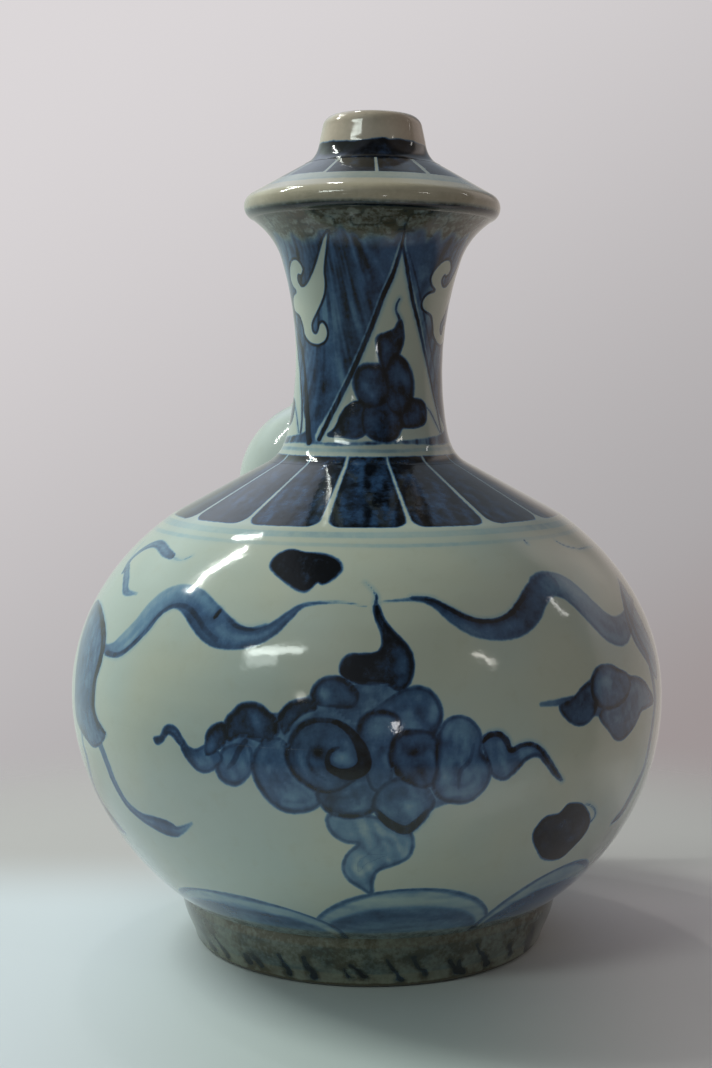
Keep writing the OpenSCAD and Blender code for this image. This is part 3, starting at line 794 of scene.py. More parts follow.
def paintBelly(sheet):
    # from the back to the front, on both sides of the pot; a shape's numbers are the strength of its wash, the
    # width and strength of its outline, and spots
    def shape(outline, tone, *rest, **more):
        lobe(sheet, outline, tone, (0.0, math.pi), *rest, **more)

    def stroke(points, tone, **more):
        brush(sheet, points, tone, (0.0, math.pi), **more)

    # leaves at the sides
    shape(leaf["left"], 0.54, 1.0, 0.55, [(88, 700, 12, 0.12), (90, 640, 14, -0.08)])
    stroke(leaf["leftVein"], [0.8, 1.0, 1.0, 1.0, 0.95, 0.9, 0.85])
    stroke(leaf["leftStalk"], [0.42, 0.40, 0.44, 0.62, 0.3], asWash=True, side=0.06)
    stroke(leaf["leftFar"], [0.3, 0.34, 0.38, 0.7, 0.85, 0.85, 0.4])
    shape(leaf["rightLeaf"], 0.40, 1.6, 0.6)
    stroke(leaf["rightEdge"], [0.5, 0.55, 0.55, 0.5, 0.5, 0.85, 0.8])
    # ribbons
    stroke(ribbon["left"], [0.40, 0.28, 0.25, 0.34, 0.5, 0.52, 0.56, 0.62, 0.5, 0.4], asWash=True, side=0.1)
    stroke(ribbon["leftUnder"], [0.6, 0.66, 0.6, 0.55, 0.62, 0.3], wide=3.0)
    stroke(ribbon["leftOver"], [0.2, 0.66, 0.66, 0.3], wide=2.4)
    stroke(ribbon["rightFar"], [0.5, 0.42, 0.38, 0.42, 0.45, 0.5, 0.4], asWash=True, side=0.06)
    stroke(ribbon["right"], [0.4, 0.62, 0.66, 0.6, 0.58, 0.64, 0.74, 0.7, 0.48], asWash=True, side=-0.1)
    stroke(ribbon["rightOver"], [0.5, 0.8, 0.86, 0.86, 0.8, 0.7, 0.15], wide=2.6)
    stroke(ribbon["small"], [0.4, 0.38, 0.4, 0.42, 0.6], asWash=True)
    stroke(ribbon["smallLeg"], [0.4, 0.42, 0.45, 0.3], asWash=True)
    stroke(ribbon["smallTail"], 0.35)
    stroke(ribbon["smallHair"], 0.35)
    stroke(ribbon["farCurl"], 0.42)
    # seal blots and flecks
    shape(blot["top"], 1.0, 1.6, 0.7)
    stroke(blot["loop"], 0.6)
    shape(blot["low"], 0.95, 1.4, 0.6, [(578, 830, 9, -0.06)])
    stroke(blot["fleckOne"], 1.0)
    stroke(blot["fleckTwo"], 0.9)
    # small cloud at the right
    stroke(sideCloud["stem"], [0.45, 0.5, 0.62], asWash=True)
    shape(sideCloud["under"], 0.6)
    shape(sideCloud["third"], 0.56, 1.3, 0.72, [(640, 695, 10, -0.08), (618, 730, 8, 0.1)])
    shape(sideCloud["first"], 0.66, 1.5, 0.82, [(585, 700, 8, 0.12)])
    shape(sideCloud["second"], 0.58, 1.5, 0.8, [(606, 680, 9, -0.14), (622, 690, 8, 0.1)])
    # large cloud
    shape(cloud["tail"], 0.36, 1.6, 0.55,
          [(345, 826, 12, 0.06), (372, 840, 14, 0.06), (355, 868, 10, -0.06), (398, 850, 12, -0.03),
           (360, 884, 6, 0.12)])
    shape(cloud["under"], 0.48)
    shape(cloud["lowLeft"], 0.54, 1.7, 0.66, [(298, 800, 15, -0.12), (274, 778, 9, 0.1), (286, 798, 8, 0.08)],
          heavy=215)
    shape(cloud["smallLow"], 0.46, 1.7, 0.66, [(228, 758, 7, -0.1), (244, 770, 6, 0.06)], heavy=225)
    stroke([(246, 741, 3.0), (239, 750, 3.4), (234, 761, 3.0), (228, 768, 2.0)], [0.66, 0.62, 0.55, 0.4])
    shape(cloud["leftTail"], 0.54, 1.5, 0.76, [(204, 764, 9, -0.12), (190, 752, 7, 0.1)])
    shape(cloud["leftOne"], 0.78, 1.5, 0.85, [(212, 748, 8, -0.2), (219, 732, 8, 0.12)], heavy=110)
    shape(cloud["leftThree"], 0.76, 1.6, 0.86, [(300, 706, 9, 0.05)], heavy=120)
    shape(cloud["leftTwo"], 0.74, 1.8, 0.88, [(258, 724, 8, -0.2), (242, 716, 10, 0.1), (273, 729, 7, 0.22)],
          heavy=105)
    shape(cloud["middleBand"], 0.52, spots=[(356, 704, 9, 0.2), (345, 712, 9, 0.15), (392, 696, 12, -0.06)])
    shape(cloud["topLeft"], 0.7, 1.7, 0.88, [(323, 693, 7, -0.24), (348, 688, 8, 0.14), (333, 704, 9, -0.2)],
          heavy=120)
    shape(cloud["topRight"], 0.5, 1.5, 0.66,
          [(422, 706, 9, 0.06), (434, 712, 8, -0.08), (405, 698, 9, -0.05), (428, 728, 7, 0.2)], heavy=20)
    stroke([(365, 582, 0.5), (372, 589, 0.9), (376.5, 596, 1.4), (376, 603, 1.9), (376.5, 611, 2.2)],
           [0.45, 0.6, 0.7, 0.8, 0.85])
    shape(cloud["flame"], 0.86, 1.6, 0.95,
          [(361, 668, 12, 0.24), (405, 668, 8, -0.12), (401, 684, 6, -0.2), (352, 672, 6, 0.1)])
    shape(cloud["underLeft"], 0.56, 2.0, 0.86, [(342, 800, 12, 0.08), (360, 806, 8, -0.08), (330, 798, 8, 0.1)],
          heavy=265)
    shape(cloud["arch"], 0.56, 1.8, 0.84,
          [(376, 730, 9, -0.16), (384, 748, 7, 0.16), (368, 744, 5, 0.08), (380, 770, 10, 0.06)], heavy=125)
    shape(cloud["underRight"], 0.52, 1.9, 0.84, [(405, 806, 9, -0.14), (390, 795, 8, 0.08)], heavy=265)
    shape(cloud["swirl"], 0.64, 1.9, 0.92,
          [(416, 752, 6, 0.34), (419, 771, 7, 0.28), (401, 752, 6, 0.04), (430, 756, 6, -0.12)], heavy=170)
    shape(cloud["rightOne"], 0.46, 1.9, 0.86,
          [(444, 744, 7, 0.22), (462, 752, 6, 0.1), (449, 777, 6, -0.12), (470, 778, 8, 0.06),
           (462, 730, 9, -0.06), (440, 790, 7, 0.2)])
    stroke([(474, 744, 1.6), (470, 760, 2.4), (460, 772, 2.4), (459, 788, 1.6)], [0.3, 0.5, 0.45, 0.3])
    shape(cloud["rightTail"], 0.5, 1.5, 0.85, [(500, 762, 8, -0.08), (528, 750, 6, -0.05)])
    stroke([(483, 742, 2.2), (489, 735.5, 3.0), (499, 734, 3.2), (506, 740, 3.4), (511, 750, 3.2),
            (521, 745.5, 2.6), (532, 744, 2.4), (541, 750, 2.6), (549, 762, 2.4), (557, 774, 2.2), (562, 780, 1.2)],
           0.96)
    shape(cloud["spiral"], 0.6, 1.9, 0.92,
          [(303, 756, 7, -0.1), (319, 753, 6, 0.26), (342, 757, 7, -0.3), (330, 784, 10, -0.05)], heavy=190)
    stroke(cloud["curl"], [0.86, 0.92, 0.96, 1.0, 1.0, 1.0, 1.0, 1.0, 0.95, 0.9])
    stroke(cloud["shade"], [0.6, 1.0, 1.0, 1.0, 0.7])
    stroke([(311, 748, 1.8), (308, 760, 2.0), (314, 772, 2.0), (326, 780, 1.6)], [0.4, 0.55, 0.5, 0.3])


# lappets: middle and half width in degrees, and height in mm; the first ones lie behind
lappet = {"rest": [(88.0, 25.5, 19.0), (136.0, 25.5, 20.5), (184.0, 25.0, 18.5), (232.0, 25.5, 20.0),
                   (278.0, 25.0, 18.5)],
          "seen": [(8.3, 22.6, 21.6), (46.5, 18.5, 21.8), (-32.0, 26.0, 15.6)],
          "top": 32.0, "wash": 0.22, "lens": 0.7, "lensWash": 0.34, "heart": 0.10, "line": 0.36, "lineTone": 0.46,
          "pool": 0.75}


def paintLappets(sheet):
    # low arches round the foot of the belly, each a flat half ellipse that its neighbour overlaps, outlined,
    # with a deeper lens of wash low inside it and a drab band where the glaze pools above the foot
    who = np.nonzero(sheet["run"] < lappet["top"])[0]
    angle, run, r = sheet["angle"][who], sheet["run"][who], sheet["radius"][who]
    for k, (middle, half, height) in enumerate(lappet["rest"] + lappet["seen"]):
        half = math.radians(half)
        t = around(angle - math.radians(middle)) / half
        e = np.hypot(t, run / height)
        d = (e - 1.0) * e / np.sqrt((t / (half * r)) ** 2 + (run / height ** 2) ** 2 + 1e-7)
        d = np.clip(d, -inkwork["farOff"], inkwork["farOff"])
        sheet["line"][who] = np.maximum(sheet["line"][who], -d)
        low = lappet["lens"] * height * np.sqrt(np.maximum(1.0 - np.abs(t * 1.12) ** 2.2, 0.0))
        tone = lappet["wash"] + lappet["lensWash"] * ease(low - run, -1.2, 1.2)
        tone = tone - lappet["heart"] * ease(low - run, 3.0, 7.0) + 0.2 * (streaks(t * 3.0, run / 1.3, middle) - 0.5)
        layWash(sheet, who, d, tone * (0.35 + 0.65 * ease(run, 2.5, 5.5)))
        layRim(sheet, who, d, lappet["line"] * (1.0 + 0.3 * np.sin(6.0 * t + k)), lappet["lineTone"])
    sheet["stain"][who] = np.maximum(sheet["stain"][who], lappet["pool"] * ease(-run, -5.2, -2.4))


petal = {"count": 15, "end": 104.7, "start": 119.0, "gapLow": 0.82, "gapHigh": 0.29, "corner": 3.2, "tone": 0.92,
         "stain": 0.16, "hoops": ((103.3, 1.0, 0.17), (101.3, 0.6, 0.15))}       # height, half width, strength


def paintPetals(sheet):
    # petals that run down the shoulder from the neck: boxes with rounded lower corners, a pale gap between
    step = fullTurn / petal["count"]
    bottom, top = np.interp((petal["end"], petal["start"]), chartZ, chartS)
    who = np.nonzero((sheet["run"] > bottom - 5.0) & (sheet["run"] < top + 4.0))[0]
    angle, run, r = sheet["angle"][who], sheet["run"][who], sheet["radius"][who]
    index = np.round(angle / step)
    off = around(angle - index * step + 0.05 * step * (hash01(index + 40) - 0.5)) * r
    share = np.clip((run - bottom) / (top - bottom), 0.0, 1.0)
    wide = 0.5 * step * r - (petal["gapLow"] + (petal["gapHigh"] - petal["gapLow"]) * share ** 0.6)
    low = bottom + 0.5 * (hash01(index + 71) - 0.4)
    corner = np.minimum(petal["corner"], wide)
    qx, qy = np.abs(off) - wide + corner, low - run + corner
    d = np.hypot(np.maximum(qx, 0.0), np.maximum(qy, 0.0)) + np.minimum(np.maximum(qx, qy), 0.0) - corner
    marks = streaks(off / 1.4 + index * 9.0, run / 7.0, 3.0)
    tone = petal["tone"] + 0.10 * (hash01(index + 5) - 0.5) + 0.3 * (marks - 0.6)
    layWash(sheet, who, np.maximum(d, run - top), tone)
    sheet["stain"][who] = np.maximum(sheet["stain"][who], petal["stain"] * ease(run, bottom, bottom + 4.0))


def paintHoops(sheet):
    # the faint lines below the petals
    for z, half, tone in petal["hoops"]:
        hoop(sheet, z, half, tone)


neckView = {"corner": (200.0, 90.0), "scale": 4.126}       # an enlarged part of the picture
panel = {
    "outline": [(846, 545), (834, 600), (818, 640), (785, 742), (744, 838), (706, 940), (664, 1044), (622, 1138),
                (583, 1222), (536, 1316), (474, 1444), (600, 1452), (760, 1450), (900, 1440), (1003, 1412),
                (984, 1330), (962, 1235), (942, 1125), (918, 995), (896, 885), (870, 775), (850, 660), (850, 600)],
    "leftLine": [(846, 545, 2), (834, 630, 8), (800, 748, 10), (758, 842, 11), (720, 945, 11), (678, 1048, 11),
                 (638, 1142, 11), (598, 1226, 11), (551, 1320, 12), (492, 1440, 12)],
    "rightLine": [(836, 640, 7), (852, 720, 9), (865, 800, 9), (882, 890, 9), (900, 960, 9), (917, 1040, 8),
                  (937, 1130, 8), (957, 1230, 7), (977, 1320, 7), (995, 1410, 7)],
    "rightOuter": [(856, 650, 3), (882, 740, 4), (904, 830, 5), (922, 920, 5), (940, 1010, 5), (958, 1110, 4),
                   (976, 1210, 3)],
    "nextLine": [(402, 1010, 4), (420, 1060, 8), (432, 1155, 10), (440, 1275, 13), (445, 1385, 16), (450, 1452, 16)],
    "under": [(752, 1152), (800, 1104), (850, 1132), (874, 1190), (872, 1260), (915, 1290), (930, 1345),
              (890, 1390), (828, 1400), (796, 1438), (740, 1442), (684, 1418), (620, 1430), (545, 1422),
              (584, 1348), (614, 1308), (652, 1280), (641, 1225), (655, 1162), (700, 1142)],
    "flame": [(826, 950), (802, 990), (762, 1010), (736, 1022), (736, 1065), (746, 1115), (752, 1160), (800, 1150),
              (822, 1090), (838, 1040), (838, 990)],
    "flameTip": [(823, 862, 4), (812, 882, 5), (808, 908, 5), (818, 934, 6), (828, 958, 8)],
    "right": [(800, 1100), (816, 1096), (850, 1130), (872, 1180), (876, 1240), (862, 1290), (838, 1330), (790, 1320),
              (760, 1240), (770, 1150)],
    "left": [(752, 1152), (720, 1140), (680, 1140), (650, 1160), (638, 1200), (640, 1240), (662, 1282), (700, 1305),
             (750, 1290), (775, 1230)],
    "lowLeft": [(660, 1288), (612, 1305), (582, 1345), (562, 1395), (528, 1424), (580, 1430), (650, 1438),
                (700, 1400), (705, 1330)],
    "lowMiddle": [(690, 1300), (668, 1350), (684, 1415), (740, 1444), (796, 1440), (826, 1400), (834, 1345),
                  (800, 1300), (740, 1285)],
    "lowRight": [(838, 1330), (858, 1290), (898, 1280), (925, 1300), (932, 1340), (926, 1376), (890, 1392),
                 (850, 1388), (830, 1362)],
    "rightFoot": [(925, 1300, 5), (950, 1330, 4), (975, 1380, 4), (990, 1415, 3)],
}
scrollTurns = (0.0, math.radians(115.0), math.radians(236.0))       # they aren't quite evenly spaced
scroll = [(529, 582), (524, 640), (517, 700), (513, 750), (518, 800), (512, 850), (492, 900), (473, 938), (462, 966),
    (466, 995), (479, 1003), (487, 985), (491, 966), (505, 956), (521, 974), (528, 1005), (518, 1035), (490, 1052),
    (456, 1045), (433, 1015), (424, 975), (412, 936), (393, 915), (385, 880), (386, 848), (397, 832), (384, 812),
          (373, 780), (370, 735), (377, 705), (395, 698), (414, 716), (425, 742), (417, 766), (405, 764), (404, 786),
          (417, 808), (433, 805), (448, 783), (466, 742), (481, 698), (495, 648), (509, 605)]
neckPaint = {"low": 121.7, "tone": 0.64, "least": 0.36, "cells": 84, "cellTall": 17.0, "midZ": 145.0,
             "hoop": (120.4, 0.5, 0.24), "grimeShadeCells": 64, "grimeShadeZ": (168.6, 171.4), "cracksFrom": 167.5}


def paintNeck(sheet):
    # blue ground, white upright triangles with a cloud in each, and white scrolls left in the blue between
    thrice = tuple(fullTurn * k / 3.0 for k in range(3))
    angle, z, cells = sheet["angle"], sheet["z"], neckPaint["cells"]
    low = np.interp(neckPaint["low"], chartZ, chartS)
    sheet["wash"] = np.maximum(low - sheet["run"], -5.0) + 0.25 * np.sin(5.0 * angle)
    cell = angle / fullTurn * cells + 0.30 * np.sin(3.0 * (angle + 0.62)) * (z - neckPaint["midZ"]) / 1.35
    tone = neckPaint["tone"] + 0.60 * (streaks(cell, z / neckPaint["cellTall"], 2.0, cells) - 0.5)
    tone = tone + 0.28 * (streaks(cell * 2.0, z / 9.0, 9.0, 2 * cells) - 0.5)
    sheet["tone"] = np.clip(tone + 0.05 * ease(z, 158.0, 168.0), neckPaint["least"], 1.0)
    reserve(sheet, panel["outline"], thrice, view=neckView)
    for name, tone in (("leftLine", 1.0), ("rightOuter", 0.8), ("rightLine", 0.95), ("flameTip", 0.9)):
        brush(sheet, panel[name], tone, thrice, view=neckView)
    brush(sheet, panel["nextLine"], [0.7, 0.9, 1.0, 1.0, 1.0], view=neckView)
    lobe(sheet, panel["under"], 0.88, thrice, view=neckView)
    for name, tone, edge, heavy, spots in (
            ("lowLeft", 0.80, 5.0, 130, [(600, 1400, 30, 0.15), (650, 1370, 24, -0.1)]),
            ("lowMiddle", 0.82, 6.0, 300, [(705, 1365, 28, -0.14), (770, 1400, 35, 0.1)]),
            ("lowRight", 0.80, 6.0, 70, [(885, 1345, 24, -0.08)]),
            ("flame", 0.80, 6.5, 160, [(770, 1060, 26, -0.1), (815, 1040, 24, 0.1)]),
            ("right", 0.78, 7.5, 15, [(838, 1190, 24, -0.2), (790, 1240, 34, 0.14), (830, 1290, 24, -0.1)]),
            ("left", 0.78, 9.0, 95, [(685, 1225, 26, -0.2), (735, 1200, 20, 0.16), (715, 1265, 24, -0.1)])):
        lobe(sheet, panel[name], tone, thrice, edge, 1.0, spots, neckView, heavy, 2.4)
    brush(sheet, panel["rightFoot"], 0.8, thrice, view=neckView)
    reserve(sheet, scroll, scrollTurns, 6.0, 0.95, neckView)
    hoop(sheet, *neckPaint["hoop"])
    # grime with painted shade under the flange, streaked along it and cracked; it ends in a ragged edge over the blue
    cells = neckPaint["grimeShadeCells"]
    cell = angle / fullTurn * cells
    keep = ease(z + 3.0 * (streaks(cell, z / 6.0, 4.0, cells) - 0.5), *neckPaint["grimeShadeZ"])
    crack = np.abs(streaks(cell * 0.75, z / 1.9, 11.0, 0.75 * cells) - 0.5)
    sheet["stain"] = keep * (0.74 + 0.45 * streaks(cell * 0.5, z / 0.9, 7.0, 0.5 * cells))
    sheet["stain"] = sheet["stain"] + 0.5 * keep * ease(-crack, -0.07, -0.02)
    sheet["tone"] = sheet["tone"] * (1.0 - 0.97 * keep)
    sheet["lineTone"] = sheet["lineTone"] * (1.0 - 0.3 * keep)
    who = np.nonzero(z > neckPaint["cracksFrom"])[0]
    layLine(sheet, who, crack[who] * 9.0 - 0.05, 0.7 * keep[who])


# lower half: base, outer bowl, seam, inner bowl
lowZ, seamZ = foot["height"], body["bellyZ"]
bowlZ = np.linspace(lowZ, seamZ, 900)
bowl = spread(np.stack([bodyRadius(bowlZ), bowlZ], 1), body["lowerRows"])
insideZ = np.linspace(seamZ, lowZ + body["base"], body["insideRows"])
bowlInside = np.concatenate([np.stack([bodyRadius(insideZ, body["wall"]), insideZ], 1),
                             [[body["baseR"], lowZ + body["base"]]]])
lowerBody = turnedPiece("lowerBody", bowl, bowlInside, body["lowerColumns"], (paintBelly, paintLappets),
                        cobaltGlaze("bodyGlaze"), ("lower_body", "belly_slip"), loop=False)

# upper half: belly, shoulder cone, seat of the neck, inside
domeZ = np.linspace(seamZ, body["seatZ"], 1200)
dome = spread(np.stack([bodyRadius(domeZ), domeZ], 1), body["upperRows"])
insideZ = np.linspace(body["insideTop"], seamZ, body["insideRows"])
insideR = np.maximum(bodyRadius(insideZ, body["wall"]), body["neckHoleR"])
domeInside = np.concatenate([[[dome[-1, 0] - 0.3, body["seatTop"]], [body["neckHoleR"], body["seatTop"]]],
                             np.stack([insideR, insideZ], 1)])
upperBody = turnedPiece("upperBody", dome, domeInside, body["upperColumns"], (paintBelly, paintPetals, paintHoops),
                        cobaltGlaze("shoulderGlaze", mottle=0.62), ("upper_body",))

# neck: foot fillet, waist, flare, seat of the flange, bore
sideZ = np.linspace(skirt[0, 1], neckTop, 1300)
neckSide = spread(np.stack([neckRadius(sideZ), sideZ], 1), neck["rows"])
seatR, boreR = neck["flareR"] - neck["seatW"], neck["boreR"]
neckInside = [[seatR, neckTop], [seatR - 1.0, neckTop - 1.5], [boreR + 0.5, neckTop - 9.5], [boreR, neckTop - 11.5],
              [boreR, neck["footZ"] + 20.0], [boreR, neck["footZ"]]]
neckGlaze = cobaltGlaze("neckGlaze", streak=(1.0, 1.0, 0.16), mottle=0.75, speckle=0.6)
neckPiece = turnedPiece("neckPiece", neckSide, neckInside, neck["columns"], (paintNeck, paintPetals), neckGlaze,
                        ("neck", "neck_slip"))

# mouth flange: flat under edge, round rim, sloping dish, seat of the collar, hollow underside
flange = {"rimR": 3.2, "rimAt": (27.7, 178.1), "slope": 30.0, "wall": 3.6, "seatZ": 175.65, "seatR": (25.6, 27.2),
          "collarR": 14.5, "boreR": 5.6, "columns": 480, "rows": 76,
          "petals": 12, "first": math.radians(3.0), "petalR": 23.6, "washR": 27.0, "gap": 0.42, "tone": 0.95}
rimZ, slant = flange["rimAt"][1], math.radians(flange["slope"])
rimArc = arc(flange["rimAt"], flange["rimR"], -0.95 * math.pi / 2.0 - 0.02, math.pi / 2.0 - slant, 26)
seatZ = rimArc[-1, 1] + (rimArc[-1, 0] - flange["collarR"]) * math.tan(slant)
dish = np.linspace(rimArc[-1], (flange["collarR"] - 0.6, seatZ + 0.2), 40)
flangeOuter = spread(np.concatenate([[[flange["seatR"][1], flange["seatZ"]]], rimArc, dish[1:]]), flange["rows"])
boreR, underZ = flange["boreR"], seatZ - flange["wall"] / math.cos(slant)
flangeInside = [[boreR + 0.6, seatZ + 0.2], [boreR, seatZ - 0.4], [boreR, underZ + 1.6], [boreR + 4.0, underZ + 1.4],
                [flange["seatR"][0] - 0.8, flange["seatZ"] + 0.6], [flange["seatR"][0], flange["seatZ"]]]


def paintFlange(sheet):
    # petals on the dish: straight sided, pale gaps between, a pale rim, a thin dark seam under the rim
    step, far = fullTurn / flange["petals"], inkwork["farOff"]
    angle, z, r = sheet["angle"], sheet["z"], sheet["radius"]
    top = z > rimZ + 1.2
    index = np.round((angle - flange["first"]) / step - 0.5)
    off = around(angle - flange["first"] - (index + 0.5) * step + 0.06 * (hash01(index + 17) - 0.5)) * r
    d = np.maximum(np.abs(off) - (0.5 * step * r - flange["gap"]),
                   r - flange["petalR"] - 0.5 * (hash01(index + 2) - 0.5))
    layWash(sheet, everywhere, np.where(top, r - flange["washR"], far), 0.13)
    layWash(sheet, everywhere, np.where(top, d, far), flange["tone"] + 0.1 * (hash01(index + 8) - 0.5))
    seam = np.abs(z - (rimZ - 2.0) + 0.12 * np.sin(5.0 * angle)) - 0.34
    # under the rim the stain rises: grime with painted shade where the underside faces down
    under = 0.24 + 0.8 * ease(-z, -(rimZ - 1.7), -(rimZ - 2.5)) + 0.8 * ease(-seam, -0.8, 0.0)
    sheet["stain"] = np.where(top, 0.10, under)
    layLine(sheet, everywhere, np.where(top, far, seam), 1.0)


mouthGlaze = cobaltGlaze("mouthGlaze", colour(0.53, 0.46, 0.34), colour(0.48, 0.43, 0.33), mottle=0.6)
mouthFlange = turnedPiece("mouthFlange", flangeOuter, flangeInside, flange["columns"], (paintFlange,), mouthGlaze,
                          ("mouth_flange", "flange_slip"), charted=False)

# collar: hollow curve up from the dish, side leaning in, round lip, drinking hole
collar = {"seatZ": 189.67, "topZ": 200.02, "footR": 16.6, "bendR": 13.3, "sideR": 12.8, "sideZ": 193.4, "boreR": 5.6,
          "lipR": 3.2, "bandZ": 192.8, "tone": 0.95, "columns": 320, "rows": 70}
lip, boreR = collar["lipR"], collar["boreR"]
footA, footB = ((r, np.interp(r, dish[::-1, 0], dish[::-1, 1]) + 0.04) for r in (collar["footR"], collar["bendR"]))
collarFoot = bent(footA, footB, (collar["sideR"], collar["sideZ"]), 16)
lipArc = arc((boreR + lip, collar["topZ"] - lip), lip, 0.1, math.pi - 0.1, 30)
rise = np.linspace(0.0, 1.0, 24)[1:-1]
collarSide = collarFoot[-1] + (lipArc[0] - collarFoot[-1]) * np.stack([rise ** 1.1, rise], 1)
collarOuter = spread(np.concatenate([collarFoot, collarSide, lipArc]), collar["rows"])
collarInside = [[boreR, collar["topZ"] - lip - 0.6], [boreR, collar["seatZ"] + 4.0], [boreR, collar["seatZ"] - 0.1]]


def paintCollar(sheet):
    # a blue band round the foot with an uneven upper edge, and a little grime towards the lip
    angle, z = sheet["angle"], sheet["z"]
    d = z - collar["bandZ"] - 0.2 * np.sin(4.0 * angle) - 0.5 * (streaks(angle * 6.0, z, 5.0) - 0.5)
    layWash(sheet, everywhere, d, collar["tone"])
    sheet["stain"] = 0.12 + 0.1 * ease(z, 194.0, 199.0)


# cream glaze tinted warm brown: a painted warm reflection of the room on the collar
collarGlazeAndReflection = cobaltGlaze("collarGlazeAndReflection", colour(0.62, 0.48, 0.37), colour(0.56, 0.49, 0.40), speckle=0.5, coat=0.2)
mouthCollar = turnedPiece("mouthCollar", collarOuter, collarInside, collar["columns"], (paintCollar,), collarGlazeAndReflection,
                          ("mouth_collar", "collar_slip"), charted=False)

# foot ring: side drawn in, worn bevel, standing edge, recess
rimR, boreR, bevel, high = foot["rimR"], foot["boreR"], foot["bevel"], foot["height"]
rise = np.linspace(0.0, 1.0, 24)
swollen = rimR + (foot["topR"] - 0.25 - rimR) * rise + foot["swell"] * np.sin(math.pi * rise ** foot["swellLow"])
footSide = spread(np.concatenate([np.stack([swollen, bevel + (high - 0.5 - bevel) * rise], 1),
                                  [[foot["topR"], high - 0.05]]]), foot["rows"])
footOuter = np.concatenate([arc((rimR - bevel, bevel), bevel, -math.pi / 2.0, 0.0, 9)[:-1], footSide])
footInside = [[foot["topR"] - 0.4, high], [boreR + 0.3, high], [boreR, high - 0.4], [boreR, 5.0],
              [boreR, foot["chamfer"]], [boreR + foot["chamfer"], 0.0]]
dash = {"count": 44, "low": 2.0, "high": 8.4, "slant": 0.75, "half": 1.05, "bandZ": 7.0, "bandHalf": 3.4, "cells": 30}


def paintFoot(sheet):
    # slanting dashes round the foot, each a short thick stroke of its own length, lean and strength
    step = fullTurn / dash["count"]
    angle, z, cells = sheet["angle"], sheet["z"], dash["cells"]
    smudge = np.full(len(z), inkwork["farOff"])
    for near in (-1, 0, 1):
        index = np.round(angle / step) + near
        seed = np.mod(index, dash["count"])
        u = around(angle - index * step - 0.9 * step * (hash01(seed) - 0.5)) * sheet["radius"]
        u = u + 1.3 * (streaks(angle * 30.0, z / 1.7, 6.0) - 0.5)
        low = dash["low"] + 1.8 * hash01(seed + 50)
        tall = dash["high"] - 4.2 * hash01(seed + 90) - low
        lean = dash["slant"] * (0.5 + hash01(seed + 130))
        t = np.clip((z - low + 0.5 * (u + lean * (z - low))) / tall, 0.0, 1.0)
        thin = 1.0 - 0.3 * t
        half = dash["half"] * (0.7 + 0.6 * hash01(seed + 210)) * thin
        d = np.hypot(u + lean * t * tall, z - low - t * tall) - half
        layLine(sheet, everywhere, d, (0.5 + 0.5 * hash01(seed + 170)) * thin)
        smudge = np.minimum(smudge, d)
    cell = angle / fullTurn * cells
    cloudy = streaks(cell, z / 4.0, 3.0, cells) + 0.5 * streaks(cell * 3.0, z / 2.0, 8.0, 3 * cells) - 0.25
    # the foot's olive stain is partly painted shade: cloudy, darker towards the top, and darkest at the standing
    # edge, where the unglazed rim carries a painted contact shadow
    sheet["stain"] = 0.30 + 0.46 * cloudy + 0.36 * ease(z, 4.0, 8.0) + 1.2 * ease(-z, -1.3, -0.6)
    sheet["stain"] = sheet["stain"] + 0.55 * ease(-smudge, -1.7, 0.2)          # each stroke has run a little
    layWash(sheet, everywhere, np.abs(z - dash["bandZ"]) - dash["bandHalf"], 0.07 + 0.16 * ease(cloudy, 0.5, 1.1))


# olive glaze, darkened to stand for painted shade on the foot
footGlazeShaded = cobaltGlaze("footGlazeShaded", colour(0.27, 0.31, 0.24), colour(0.25, 0.29, 0.25), mottle=1.0, speckle=0.8,
                        rough=0.2)
footRing = turnedPiece("footRing", footOuter, footInside, foot["columns"], (paintFoot,), footGlazeShaded,
                       ("foot_ring", "foot_slip"), charted=False)

# spout bulb: a sphere about its own axis, cut where it meets the shoulder, with a small fillet of slip there
bulb = {"y": 56.54, "z": 108.16, "r": 23.7, "wall": 3.8, "lift": 35.0, "seat": 20.94, "mouthR": 12.0, "innerR": 8.2,
        "sink": 0.3, "fillet": 2.2, "filletReach": 2.4, "filletCurve": 2.2, "skinRise": 20.0,
        "columns": 256, "rows": 110, "innerRows": 14,
        "petals": 8, "root": 16.0, "tip": 25.0, "line": 0.42, "tone": 0.42, "hoop": 14.6}
lift = math.radians(bulb["lift"])
spoutAxis = np.array([0.0, math.cos(lift), math.sin(lift)])
spoutSide = np.array([1.0, 0.0, 0.0])
spoutUp = np.cross(spoutSide, spoutAxis)
bulbMid = np.array([0.0, bulb["y"], bulb["z"]])
roundBulb = np.arange(bulb["columns"]) * fullTurn / bulb["columns"]


def bulbPoint(radius, fromAxis):
    # points of a sphere by their angle from the spout's axis, one column for each angle round it
    way = (np.cos(fromAxis)[..., None] * spoutAxis + (np.sin(fromAxis) * np.cos(roundBulb))[..., None] * spoutSide
           + (np.sin(fromAxis) * np.sin(roundBulb))[..., None] * spoutUp)
    return bulbMid + radius * way


def shoulderCut(radius):
    # angle from the axis at which the sphere meets the shoulder, by halving the interval many times
    low, high = np.full_like(roundBulb, 0.5), np.full_like(roundBulb, math.pi)
    for _ in range(40):
        mid = 0.5 * (low + high)
        p = bulbPoint(radius, mid)
        outside = np.hypot(p[..., 0], p[..., 1]) > bodyRadius(p[..., 2]) - bulb["sink"]
        low, high = np.where(outside, mid, low), np.where(outside, high, mid)
    return low


def unit(way):
    # directions with their length brought to 1
    return way / np.linalg.norm(way, axis=-1, keepdims=True)


